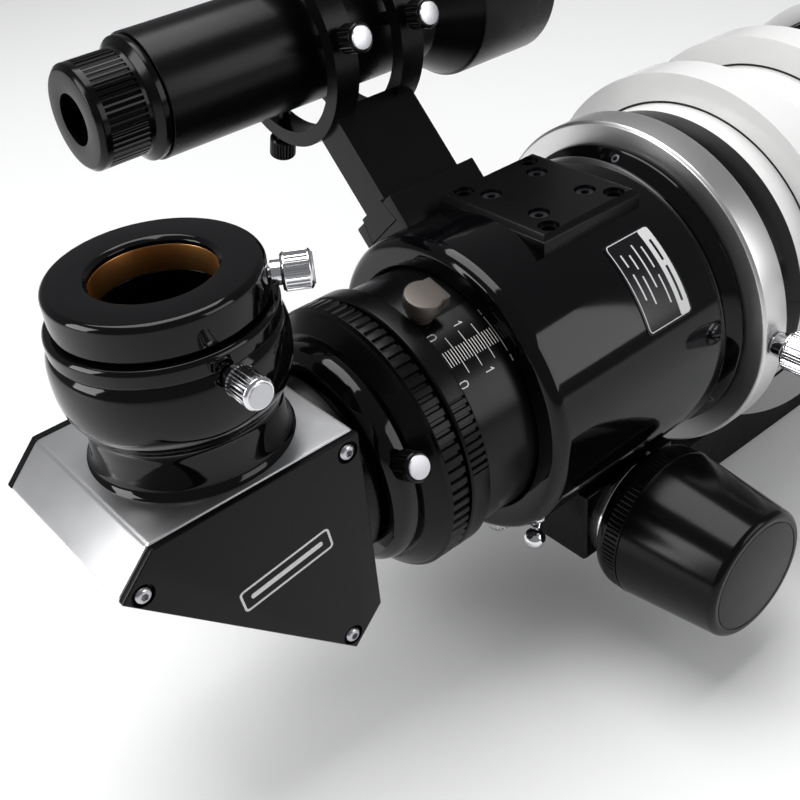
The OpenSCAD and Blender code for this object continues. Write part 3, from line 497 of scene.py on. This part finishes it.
def label_slab(name, x0, x1, a0, a1, corner, low, high, mat, body, replaced=()):
    """Curved thin slab with rounded corners, as one closed strip of columns."""
    radius = high
    arc = math.radians(abs(a1 - a0)) * radius
    offsets = [0.0]
    offsets += [corner * (1 - math.cos(math.radians(15 * k))) for k in range(1, 7)]
    inner = max(1, math.ceil((arc - 2 * corner) / 1.2))
    offsets += [corner + (arc - 2 * corner) * k / inner for k in range(1, inner)]
    offsets += [
        arc - corner * (1 - math.cos(math.radians(15 * k))) for k in range(6, 0, -1)
    ] + [arc]
    bm = bmesh.new()
    columns = []
    for s in offsets:
        edge = min(s, arc - s)
        inset = 0.0
        if edge < corner:
            inset = corner - math.sqrt(max(0.0, corner ** 2 - (corner - edge) ** 2))
        a = a0 + (a1 - a0) * s / arc
        column = []
        for r in (low, high):
            for x in (x0 + inset, x1 - inset):
                column.append(on_cylinder(bm, x, a, r))
        columns.append(column)
    for p, q in zip(columns, columns[1:]):
        for i, j in ((0, 1), (1, 3), (3, 2), (2, 0)):
            bm.faces.new((p[i], p[j], q[j], q[i]))
    for c in (columns[0], columns[-1]):
        bm.faces.new((c[0], c[1], c[3], c[2]))
    bmesh.ops.transform(bm, matrix=LYING, verts=bm.verts)
    return made(name, bm, mat, body, replaced, angle=30)


# ---------- eyepiece adapter, its holder and the nose tube ----------

adapter = lathe("adapter_body", [
    (15.93, 49.7), (24.6, 49.7), (25.4, 50.5), (25.4, 71.6), (26.8, 71.6), (27.6, 72.4, 0.5),
    (27.6, 80.6, 0.9), (26.5, 81.8, 0.9), (17.0, 81.8, 0.4), (15.93, 80.9, 0.3), (15.93, 79.7),
    (16.93, 79.7), (16.93, 72.3), (15.93, 72.3)
], EYEPIECE, GLOSS, "adapter", ("eyepiece_adapter",), radius=0.2, steps=5)
lathe("adapter_brass", [(15.95, 72.35), (16.9, 72.35), (16.9, 79.65), (15.95, 79.65)], EYEPIECE,
    BRASS, "adapter", ("adapter_clamp_ring",), radius=0.15)
HOLDER_CURVE = [
    (27.9, HALF), (27.0, 32.2), (26.3, 34.0), (26.0, 37.0), (26.0, 41.0), (26.1, 43.6),
    (26.9, 45.6), (28.4, 47.8), (29.9, 51.0), (30.6, 55.0), (30.8, 59.0), (30.6, 62.6),
    (30.0, 64.8), (29.2, 66.0)
]
holder = lathe("holder_body", [(22.5, HALF)] + [(r, z, 0) for r, z in flowing(HOLDER_CURVE, 5)] + [
    (29.5, 66.7, 0.3), (29.6, 70.2, 0.8), (28.8, 71.2, 0.4), (25.75, 71.2, 0.3), (25.75, 48.5),
    (22.5, 48.5)
], EYEPIECE, GLOSS, "diagonal", ("eyepiece_holder",), radius=0.3, steps=6, angle=50)

ADAPTER_SCREW = from_eyepiece(76, -34)
HOLDER_SCREW = from_eyepiece(65, -91)
thumb("adapter_screw", ADAPTER_SCREW, "adapter_lock", 1.7, 17.3, 28.0, 3.2, 2.6, 5, 8, count=30)
thumb("holder_screw", HOLDER_SCREW, "holder_lock", 2, 25.8, 31.2, 3, 2.2, 4.2, 9.6, count=28)

bored(adapter, [(2.1, 16.7, 30, ADAPTER_SCREW)])
bored(holder, [(2.4, 23, 34, HOLDER_SCREW)])
lathe("nose_tube", [
    (22.5, HALF), (29.5, HALF, 0.2), (29.5, 36.9, 0.7), (28.5, 37.7, 0.4), (25.4, 37.7),
    (25.4, 71.2, 0.6), (24.6, 72), (22.5, 72)
], OPTICAL, ANODISED, "diagonal", ("nosepiece",), radius=0.2)


# ---------- body of the diagonal ----------

SIDE_VIEW = [
    (-HALF, HALF), (HALF, HALF), (HALF, -HALF), (HALF - CUT, -HALF - CUT), (-HALF - CUT, HALF - CUT)
]
ROOM = [(-30.3, 28.3), (28.3, 28.3), (28.3, -30.3), (18.9, -30.3), (-30.3, 18.9)]
SCREW_SPOTS = [(-36.3, 20), (27, 27), (20, -36.3)]
SCREW_SEAT = 1.5
COVER_FACE = HOUSING_W / 2 + SIDE_T

housing = prism("diagonal_block", SIDE_VIEW, -HOUSING_W / 2, HOUSING_W / 2, SIDEWAYS, SILVER,
    "diagonal", ("diagonal_housing",), bevel=1.1)
carve(housing, [
    (ROOM, -HOUSING_W / 2 - 1, HOUSING_W / 2 + 1, SIDEWAYS),
    (round_outline(22.5, 96), 5, HALF + 2, OPTICAL),
    (round_outline(22.5, 96), 5, HALF + 2, EYEPIECE)
])
for side, label in ((1, "near"), (-1, "far")):
    low, high = sorted((side * HOUSING_W / 2, side * (HOUSING_W / 2 + SIDE_T)))
    cover = prism("side_cover_" + label, SIDE_VIEW, low, high, SIDEWAYS, ANODISED, "diagonal",
        ("side_plates",) if side > 0 else (), bevel=0.55)
    outer = high if side > 0 else low
    seat_cut = (outer - SCREW_SEAT, outer + 1) if side > 0 else (outer, outer + SCREW_SEAT)
    carve(cover, [
        (round_outline(3.3, 48), *seat_cut, chain(SIDEWAYS, shift(x, z, 0))) for x, z in SCREW_SPOTS
    ])
    for i, (x, z) in enumerate(SCREW_SPOTS):
        seat = chain(SIDEWAYS, shift(x, z, side * (COVER_FACE - SCREW_SEAT)),
            spin(0 if side > 0 else 180, "X"))
        head = lathe(f"cover_screw_{label}_{i}", [
            (0, -0.6), (1.3, -0.6), (1.3, 0.02), (2.55, 0.02, 0.1), (2.5, 1.0, 0.4),
            (2.0, 1.9, 0.6), (1.2, 2.2, 0.2), (0, 2.2)
        ], seat, STEEL, "diagonal", ("side_plate_screws",) if side > 0 and i == 0 else (),
            radius=0.1, segs=64)
        carve(head, [(round_outline(1.15, 6), 0.9, 3, seat)])

MARK = chain(SIDEWAYS, shift(3, 1.5, 0), spin(8, "Z"))
badge = prism("cover_mark", rounded(30, 7.5, 1.4), COVER_FACE - 0.05, COVER_FACE + 0.06, MARK,
    PRINT, "diagonal", bevel=0)
carve(badge, [(rounded(28.6, 6.1, 0.8), COVER_FACE - 1, COVER_FACE + 1, MARK)])
prism("cover_mark_bar", rounded(24, 1.6, 0.6), COVER_FACE - 0.05, COVER_FACE + 0.06, MARK, PRINT,
    "diagonal", bevel=0)

# ---------- nose clamp, angle ring, lock ring ----------

clamp = lathe("clamp_body", [
    (25.75, 38.9), (32.8, 38.9, 0.3), (33.6, 39.6, 0.4), (35.2, 41.1, 0.8), (35.9, 42.9, 1),
    (35.9, 46.6), (25.75, 46.6)
], OPTICAL, GLOSS, "rotator", ("nose_clamp",), radius=0.2)
CLAMP_SCREW = outward(42.7, -66.5)
bored(clamp, [(2.4, 24, 38, CLAMP_SCREW)])
thumb("nose_clamp_screw", CLAMP_SCREW, "nose_lock", 2, 25.8, 36.3, 3.2, 1.6, 4.4, 8, mat=KNOB,
    count=24)
lathe("angle_body", [
    (25.75, 46.6), (37.3, 46.6, 0.3), (41.7, 50.7, 0.4), (42.3, 51.5, 0.3), (43.3, 52.0, 0.3),
    (43.3, 58.2, 0.3), (42.7, 58.6, 0.2), (37.6, 58.6), (37.6, 72), (35.6, 72), (35.6, 60),
    (25.75, 60)
], OPTICAL, ANODISED, "rotator", ("angle_ring",), radius=0.2, segs=76 * 8,
    knurls=[(52.2, 58.2, 43.3, 76, 0.9, None)], angle=32)


def grip(theta):
    """Three knurled sectors round the lock ring."""
    a = (-math.degrees(theta) + 68) % 120
    return 1.0 if min(a, 120 - a) < 15 else 0.0


lathe("lock_body", [
    (40.2, 59.6), (42.6, 59.6, 0.3), (43.3, 60.2, 0.3), (43.3, 66.4, 0.3), (42.6, 67, 0.3),
    (40.2, 67)
], OPTICAL, ANODISED, "rotator_lock", ("lock_ring",), radius=0.15, segs=108 * 8,
    knurls=[(60.5, 66.2, 43.3, 108, 0.8, grip)], angle=32)

# ---------- drawtube ----------

draw = lathe("draw_body", [
    (38, 59.6), (39.8, 59.6), (39.8, 67.4), (DRAW_R, 67.4, 0.3), (DRAW_R, 198, 0.3), (38, 198)
], OPTICAL, RINGS, "draw", ("drawtube",), radius=0.1, segs=256)
KNOB_SPOT = outward(71.2, -17)
carve(draw, [
    (band(116, 199, 3.5), -43, -39.8, LYING), (round_outline(2.3), 36, 43, KNOB_SPOT)
])
lathe("drawtube_grip", [
    (0, 38.6), (1.9, 38.6), (1.9, 41.6), (3.6, 41.6), (3.6, 43.6), (4.8, 44.2, 0.3), (5.1, 46.2),
    (0, 46.2)
], KNOB_SPOT, GRIP, "draw_knob", ("drawtube_knob",), radius=0.15, segs=96)
PADDLE = [
    (5.8 * math.cos(math.radians(t)), 5.8 * math.sin(math.radians(t))) for t in range(55, 306, 5)
]
PADDLE += [(6.1, -4.7), (6.1, 4.7)]
prism("drawtube_paddle", PADDLE, 46.2, 50.4, KNOB_SPOT, GRIP, "draw_knob", bevel=0.5)

DIGITS = {
    "0": [
        (0.25, 0), (0.75, 0), (1, 0.22), (1, 0.78), (0.75, 1), (0.25, 1), (0, 0.78), (0, 0.22),
        (0.25, 0)
    ],
    "1": [(0.2, 0.78), (0.55, 1), (0.55, 0)],
    "2": [(0, 0.8), (0.2, 1), (0.75, 1), (1, 0.8), (1, 0.6), (0, 0), (1, 0)],
    "3": [(0, 1), (1, 1), (0.45, 0.6), (0.8, 0.55), (1, 0.35), (0.8, 0), (0.2, 0), (0, 0.2)],
    "4": [(0.75, 0), (0.75, 1), (0, 0.3), (1, 0.3)],
    "5": [(1, 1), (0.1, 1), (0.05, 0.55), (0.7, 0.6), (1, 0.35), (0.75, 0), (0, 0)],
    "6": [
        (0.85, 1), (0.2, 0.6), (0, 0.25), (0.25, 0), (0.75, 0), (1, 0.25), (0.7, 0.5), (0.1, 0.45)
    ],
    "7": [(0, 1), (1, 1), (0.3, 0)],
}
scale_marks = []
for i in range(79):
    x = 68.5 + i
    long_tick = i % 5 == 4
    a0, a1 = (-30.2, -47.0) if long_tick else (-35.3, -42.1)
    scale_marks += bar_quads(x - 0.11, x + 0.11, a0, a1)
for i, digit in enumerate("01234567"):
    for a in (-27.6, -50.1):
        scale_marks += stroke_quads(DIGITS[digit], 69.0 + 10 * i, a, 1.7, 2.8, 0.32, DRAW_R)
patches("draw_scale", scale_marks, DRAW_R - 0.05, DRAW_R + 0.06, PRINT, "draw")

# ---------- focuser body ----------

quarter = [math.radians(7.5 * i) for i in range(13)]
rear_arc = [(BARREL_R - 4.1 * (1 - math.sin(t)), 87 + 4.7 * (1 - math.cos(t)), 0) for t in quarter]
front_arc = [
    (BARREL_R - 2.8 * (1 - math.cos(t)), 165.5 - 4.5 * (1 - math.sin(t)), 0) for t in quarter
]
barrel = lathe("barrel_body",
    [(41.6, 87.8, 0), (42.4, 87, 0.2)] + rear_arc + front_arc + [(41.6, 165.5)], OPTICAL, GLOSS,
    "focuser", ("focuser_barrel",), radius=0.1, segs=FINE)
LEVER = outward(99.5, -146)
TENSION = outward(98, -167)
SHOE = outward(117, FINDER_LEAN)
carve(barrel, [
    (band(PLATE_X - 20.9, PLATE_X + 20.9, 22.7), 45, 53, LYING),
    (band(85, 170, 4.3), -44, -36, LYING), (band(121, 138, 9.5), -53.1, -39.1, LYING),
    (round_outline(3.5), -52, 52, SHAFT_NEAR), (round_outline(2.5), 39, 55, LEVER),
    (round_outline(2.5), 39, 55, TENSION)
])
lathe("barrel_front_ring", [
    (44.4, 165.5), (48.1, 165.5, 0.1), (52.2, 169.4, 0.5), (52.4, 170, 0.2), (50, 170.2),
    (50, 182.4), (44.4, 182.4)
], OPTICAL, GLOSS, "focuser", ("focuser_front_ring",), radius=0.1, segs=FINE)
for i in range(3):
    a = -120 * i
    spot = chain(outward(167.5, a), shift(0, 0, 50.2), spin(-43, "Y"))
    screw = lathe(f"ring_set_screw_{i}", [(0, -1.5), (1.5, -1.5), (1.5, 0.1, 0.1), (0, 0.1)], spot,
        STEEL_DARK, "focuser", radius=0.05, segs=48)
    carve(screw, [(round_outline(0.85, 6), -0.9, 1, spot)])

plate_bm = prism_mesh(rect(41.8, 45.4), PLATE_Z, PLATE_TOP, chain(LYING, shift(PLATE_X, 0, 0)), 0)
top_z = (AXIS_H + PLATE_TOP) * MM
rim = [e for e in plate_bm.edges if all(v.co.z > top_z - 1e-5 for v in e.verts)]
bmesh.ops.bevel(plate_bm, geom=rim, offset=1.6 * MM, segments=1, affect="EDGES", clamp_overlap=True)
sharp = [e for e in plate_bm.edges if e.calc_face_angle(0) > 0.5]
bmesh.ops.bevel(plate_bm, geom=sharp, offset=0.25 * MM, segments=2, profile=0.6, affect="EDGES",
    clamp_overlap=True)
plate = made("plate_body", plate_bm, ANODISED, "focuser", ("accessory_plate",))
holes = []
for sx in (-1, 1):
    for sy in (-1, 1):
        outer = chain(LYING, shift(PLATE_X + sx * 14.3, sy * 18.1, 0))
        inner = chain(LYING, shift(PLATE_X + sx * 10.1, sy * 10.2, 0))
        holes += [
            (2.1, 44, 53, outer), (3.3, 50.8, 53, outer), (2.1, 44, 53, inner),
            (3.4, 48.6, 53, inner)
        ]
bored(plate, holes)
for i, (sx, sy) in enumerate(((-1, -1), (-1, 1), (1, -1), (1, 1))):
    seat = chain(LYING, shift(PLATE_X + sx * 10.1, sy * 10.2, 0))
    screw = lathe(f"plate_screw_{i}", [
        (0, 43.6), (1.9, 43.6), (1.9, 48.6), (3.1, 48.6), (3.1, 51.1, 0.4), (0, 51.1)
    ], seat, STEEL_DARK, "focuser", ("plate_screws",) if i == 0 else (), radius=0.1, segs=48)
    carve(screw, [(round_outline(1.5, 6), 49.8, 52, seat)])

# ---------- label ----------

# where the dashes of each line of print start and end, as shares of the label's width
LABEL_LINES = (
    (0.18, 0.42, 0.5, 0.8), (0.12, 0.6), (0.2, 0.36, 0.44, 0.74), (0.16, 0.3, 0.38, 0.66)
)


def label_lean(share):
    return LABEL_A[0] + (LABEL_A[1] - LABEL_A[0]) * share


label_slab("label_body", LABEL_X, LABEL_X + LABEL_L, *LABEL_A, 1.6, BARREL_R - 0.2, BARREL_R + 0.32,
    LABEL_BLACK, "focuser", ("label_plate",))
rim_points = rounded(1, 1, 0.06, 4)
mid_x = LABEL_X + LABEL_L / 2
mid_a = sum(LABEL_A) / 2
arc_mm = math.radians(LABEL_A[0] - LABEL_A[1]) * BARREL_R
outline_quads = stroke_quads([(x + 0.5, y + 0.5) for x, y in rim_points], mid_x, mid_a,
    arc_mm - 1.6, LABEL_L - 1.6, 0.3, BARREL_R, closed=True)
for row, dashes in enumerate(LABEL_LINES):
    x = LABEL_X + 12.6 - row * 2.9
    for start, end in zip(dashes[::2], dashes[1::2]):
        outline_quads += bar_quads(x - 0.28, x + 0.28, label_lean(start), label_lean(end))
patches("label_print", outline_quads, BARREL_R + 0.2, BARREL_R + 0.38, PRINT, "focuser")
label_slab("label_header", LABEL_X + 14.9, LABEL_X + 19.3, LABEL_A[0] - 0.9, LABEL_A[1] + 0.9, 0.9,
    BARREL_R + 0.2, BARREL_R + 0.385, PRINT, "focuser")

heading = []
for start, end in ((0.16, 0.4), (0.46, 0.84)):
    heading += bar_quads(LABEL_X + 16.6, LABEL_X + 17.6, label_lean(start), label_lean(end))
patches("label_heading", heading, BARREL_R + 0.25, BARREL_R + 0.395, LABEL_BLACK, "focuser")

# ---------- pinion housing, shaft and knobs ----------

BLOCK = [
    (-BLOCK_FACE, -31.5), (-BLOCK_FACE, -57.1), (-42.3, -58.6), (42.3, -58.6), (BLOCK_FACE, -57.1),
    (BLOCK_FACE, -31.5)
]
block = prism("housing_body", BLOCK, 106.5, 147.9, ACROSS, ANODISED, "focuser", ("pinion_housing",),
    bevel=0.5)
carve(block, [
    (round_outline(BARREL_R, FINE), 100, 155, OPTICAL), (round_outline(3.4), -45, 45, SHAFT_NEAR),
    (round_outline(8.2), -9.5, 9.5, SHAFT_NEAR),
    (band(121.3, 137.7, 9.5), PINION_Z, -30, LYING)
])
for label, shaft in (("near", SHAFT_NEAR), ("far", SHAFT_FAR)):
    lathe("washer_" + label, [
        (3.5, BLOCK_FACE), (20, BLOCK_FACE, 0.1), (20, 46.4, 0.45), (3.5, 46.4)
    ], shaft, CHROME, "focuser", ("pinion_washers",) if label == "near" else (), radius=0.1,
        segs=192)

lathe("near_knob_body", [
    (3.02, KNOB_Y), (20.6, KNOB_Y, 0.2), (21.2, 47.4, 0.2), (23.0, 48.0, 0.3), (24.6, 49.4, 0.6),
    (25.5, 51.6, 1), (25.8, 54.4, 1), (25.8, SEAM_Y - 0.25, 0.12), (25.3, SEAM_Y - 0.1, 0.05),
    (25.3, SEAM_Y + 0.1, 0.05), (25.65, SEAM_Y + 0.25, 0.12), (22.0, 90.6, 0.6), (21.2, 91.7, 0.4),
    (20.3, KNOB_END, 0.3), (18.9, KNOB_END, 0.15), (18.7, KNOB_END - 0.35, 0.1),
    (0, KNOB_END - 0.35), (0, 76.9), (3.02, 76.9)
], SHAFT_NEAR, KNOB, "pinion", ("near_focus_knob",), radius=0.2, segs=96 * 6, steps=6,
    knurls=[(52.4, 57.4, 25.7, 96, 0.35, None)])
lathe("near_knob_end", [
    (0, KNOB_END - 0.6), (18.5, KNOB_END - 0.6), (18.5, KNOB_END - 0.05, 0.2), (0, KNOB_END - 0.05)
], SHAFT_NEAR, KNOB_END_MAT, "pinion", radius=0.1, segs=192)
lathe("far_knob_body", [
    (3.02, KNOB_Y), (20.2, KNOB_Y, 0.2), (22.8, 48.2, 0.5), (24.4, 50.8, 1), (24.8, 56.8, 1),
    (23.5, 74.6, 0.6), (21.4, FAR_END, 0.6), (3.02, FAR_END)
], SHAFT_FAR, KNOB, "pinion", ("far_focus_knob",), radius=0.2, segs=256, steps=5)
lathe("fine_knob_body", [
    (0, 65.0), (1.8, 65.0), (1.8, FAR_END + 0.6), (13, FAR_END + 0.6), (14, FAR_END + 1.6, 0.4),
    (14, FAR_END + 15.0, 0.4), (13.0, FAR_END + 16.4, 0.5), (10.5, FAR_END + 17, 0.3),
    (10.2, FAR_END + 16.6, 0.2), (0, FAR_END + 16.6)
], SHAFT_FAR, KNOB, "fine", ("fine_focus_knob",), radius=0.2, segs=48 * 6,
    knurls=[(FAR_END + 2.2, FAR_END + 14.6, 14, 48, 0.8, None)])

handle = chain(LEVER, shift(0, 0, 52.7), spin(-46.2, "Y"))
HANDLE_L = 6.93
BALL_R = 3.6
ball_turns = [math.radians(6 * i - 65) for i in range(26)]
ball = [(BALL_R * math.cos(t), HANDLE_L + BALL_R * math.sin(t), 0) for t in ball_turns]
lathe("lever_stem", [
    (0, 42.2), (2.2, 42.2), (2.2, 51.6), (3.6, 51.6), (3.6, 53.2, 0.6), (2.4, 53.9, 0.4), (0, 53.9)
], LEVER, CHROME, "draw_lock", ("lock_lever",), radius=0.1, segs=64)
lathe("lever_ball", [(0, -0.5), (1.5, -0.5)] + ball + [(0, HANDLE_L + BALL_R)], handle, CHROME,
    "draw_lock", radius=0.1, segs=96, angle=50)
thumb("tension_screw", TENSION, "draw_tension", 2.2, 42.2, 51.6, 2.8, 1.2, 4.2, 5.2, mat=STEEL,
    count=20)

# ---------- rotation collar, tube, objective and dew shield ----------

collar = lathe("collar_body", [
    (50.4, 171), (59.1, 171, 0.3), (60, 171.9, 0.3), (60, 182.1, 0.3), (59.1, 183, 0.3), (50.4, 183)
], OPTICAL, COLLAR, "tube", ("rotation_collar",), radius=0.2, segs=FINE)
ROTATION = outward(177, -90)
bored(collar, [(3, 48, 62, ROTATION)])
thumb("rotation_lock_screw", ROTATION, "rotation_lock", 2.6, 50.9, 60.5, 4.2, 4.5, 6.6, 12,
    count=40)
lathe("rear_cell_body", [
    (47, 183), (55.4, 183, 0.3), (55.4, 197, 0.15), (53.4, 197), (53.4, 207), (47, 207)
], OPTICAL, RINGS, "tube", ("rear_cell",), radius=0.1, segs=FINE)
lathe("tube_body", [(53.4, 197), (TUBE_R, 197, 0.15), (TUBE_R, 302, 0.15), (53.4, 302)], OPTICAL,
    WHITE, "tube", ("main_tube",), radius=0.1, segs=FINE)
lathe("lens_cell_body", [
    (41.2, 292), (53.4, 292), (53.4, 302), (57, 302, 0.4), (57, 321), (61.6, 321), (61.6, 331, 0.4),
    (43, 331, 0.4), (43, 324), (41.2, 324), (41.2, 306), (39.5, 306), (39.5, 303), (41.2, 300)
], OPTICAL, ANODISED, "tube", ("lens_cell",), radius=0.15, segs=256)
shield = lathe("shield_body", [
    (57.4, 312), (64.5, 312, 0.5), (64.5, 407), (62, 407), (62, 319), (57.4, 319)
], OPTICAL, WHITE, "shield", ("dew_shield",), radius=0.2, segs=FINE)
SHIELD_LOCK = outward(315.5, -90)
bored(shield, [(2.4, 55, 66, SHIELD_LOCK)])
lathe("shield_ring_body", [
    (64.5, 400), (65.9, 400, 0.3), (65.9, 408.4, 0.5), (65.1, 409.2, 0.4), (60.5, 409.2, 0.5),
    (60.5, 407), (64.5, 407)
], OPTICAL, RINGS, "shield", ("shield_front_ring",), radius=0.2, segs=FINE)
thumb("shield_lock_screw", SHIELD_LOCK, "shield_lock", 2, 58, 64.9, 3.2, 2.5, 4.6, 7, count=28)

# ---------- finder ----------

shoe = prism("shoe_body", rect(36, 27), 48.9, 61.1, SHOE, ANODISED, "focuser", ("finder_shoe",),
    bevel=0.6)
SHOE_LOCK = chain(SHOE, shift(0, 0, 57.3), spin(-90, "X"))
# local X and Y across and up the shoe, Z along it
ALONG_SHOE = chain(SHOE, Matrix(((0, 0, 1, 0), (1, 0, 0, 0), (0, 1, 0, 0), (0, 0, 0, 1))))
carve(shoe, [
    (round_outline(BARREL_R, FINE), 90, 145, OPTICAL),
    ([(-9.9, 53.5), (9.9, 53.5), (7.87, 61.3), (-7.87, 61.3)], -19, 15, ALONG_SHOE),
    (round_outline(2.3), 0, 27, SHOE_LOCK)
])
thumb("shoe_lock_screw", SHOE_LOCK, "shoe_lock", 1.9, 10, 13.9, 3, 2, 4.6, 9, count=28)

lathe("finder_body", [
    (18, 48), (20, 48, 0.2), (20, 152), (28, 166), (29, 167, 0.4), (29, 201, 0.4), (27, 201, 0.3),
    (27, 167.8), (18, 152.8)
], FINDER, ANODISED, "finder", ("finder_tube",), radius=0.15, segs=192)
lathe("finder_eye", [
    (8, 25.5), (15, 25.5, 0.4), (16.5, 27, 0.4), (16.5, 43.4, 0.4), (19.4, 45.4, 0.2), (19.4, 47.4),
    (17.6, 47.4), (17.6, 59.4), (16, 59.4), (16, 45.4), (8, 41.4)
], FINDER, KNOB, "finder_focus", ("finder_eyepiece",), radius=0.15, segs=56 * 6,
    knurls=[(29, 42, 16.5, 56, 0.7, None)])
first = True
for x in (-13.5, 13.5):
    for a in (0, 120, 240):
        spot = chain(outward(117 + x, FINDER_LEAN), shift(0, 0, FINDER_R), spin(-a, "X"))
        label = f"finder_screw_{'rear' if x < 0 else 'front'}_{a}"
        thumb(label, spot, "finder", 2.15, 20.05, 34, 2.8, 1.6, 4.6, 8, mat=KNOB, cap=STEEL,
            count=24, replaced=False)
        if first:
            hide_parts("finder_screws")
            first = False

# ---------- nodes shown as the part's own meshes ----------

KEPT = {
    "dovetail_bar": ANODISED, "ring_bolts": STEEL_DARK, "rear_ring_lower": WHITE,
    "rear_ring_upper": WHITE, "front_ring_lower": WHITE, "front_ring_upper": WHITE,
    "ring_hinge_pins": STEEL, "ring_liners": FELT, "tube_baffles": FLAT_BLACK, "front_lens": LENS,
    "rear_lens": LENS, "lens_retainer": ANODISED, "rack": STEEL, "pinion_shaft": STEEL,
    "diagonal_mirror": MIRROR, "finder_bracket": ANODISED, "finder_lens": LENS
}
for name, mat in KEPT.items():
    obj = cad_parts[name]
    obj.data.materials.clear()
    obj.data.materials.append(mat)
    if mat not in (LENS, MIRROR, FELT, FLAT_BLACK) and name != "rack":
        mod = obj.modifiers.new("edges", "BEVEL")
        mod.width, mod.segments = 0.3 * MM, 2
        mod.limit_method, mod.angle_limit = "ANGLE", math.radians(35)
        mod.harden_normals = True
for end, x in RING_STATIONS.items():
    stand = axes(place(x, CLAMP_LUG_Y, 0), (1, 0, 0), (0, 0, 1))
    thumb(end + "_clamp_knob", stand, end + "_clamp", 2.6, -7, 8.7, 4.4, 3, 7.5, 12, count=36)

# ---------- surroundings ----------

world = bpy.data.worlds.new("studio")
bpy.context.scene.world = world
world.use_nodes = True
world.node_tree.nodes["Background"].inputs["Color"].default_value = (0.86, 0.87, 0.9, 1)
world.node_tree.nodes["Background"].inputs["Strength"].default_value = 0.26


def lamp(name, at, aim, size, power, tall=None):
    data = bpy.data.lights.new(name, "AREA")
    data.shape = "RECTANGLE"
    data.size, data.size_y, data.energy = size, tall or size, power
    obj = bpy.data.objects.new(name, data)
    bpy.context.scene.collection.objects.link(obj)
    obj.location = at
    obj.rotation_euler = (Vector(aim) - Vector(at)).to_track_quat("-Z", "Y").to_euler()
    return obj


lamp("overhead", (-0.15, 0.25, 1.3), (-0.15, 0, 0.08), 1.0, 17)
lamp("rear_left", (-1.15, 0.35, 0.5), (-0.2, 0, 0.09), 0.45, 8, 0.7)
lamp("near_side", (0.45, -1.2, 0.6), (-0.12, 0, 0.08), 0.8, 6.5, 0.8)

FLOOR_MAT = surface("paper_floor", (0.8, 0.8, 0.8), 0.7, grain=0.02, grain_scale=60, tint=0.01)
bm = bmesh.new()
bmesh.ops.create_grid(bm, x_segments=1, y_segments=1, size=6.0)
mesh = bpy.data.meshes.new("floor")
bm.to_mesh(mesh)
bm.free()
floor = bpy.data.objects.new("floor", mesh)
mesh.materials.append(FLOOR_MAT)
bpy.context.scene.collection.objects.link(floor)
floor.location = (0, 0, -0.0005)

# ---------- camera, at the photograph's own place ----------

CAMERA_AT = (-0.375954, -0.231273, 0.300793)
CAMERA_TURN = (2.054, -0.799, 0.283)
turn = Vector(CAMERA_TURN)
seen = Matrix.Rotation(turn.length, 3, turn.normalized())
right, down, forward = seen[0], seen[1], seen[2]
cam_data = bpy.data.cameras.new("camera")
cam_data.lens, cam_data.sensor_width = 51.95, 36.0
cam_data.shift_x, cam_data.shift_y = 0.026, 0.003
cam_data.clip_start = 0.01
camera = bpy.data.objects.new("camera", cam_data)
bpy.context.scene.collection.objects.link(camera)
turned_by = Matrix((right, -down, -forward)).transposed().to_4x4()
camera.matrix_world = Matrix.Translation(CAMERA_AT) @ turned_by
bpy.context.scene.camera = camera
bpy.context.scene.view_settings.view_transform = "Standard"
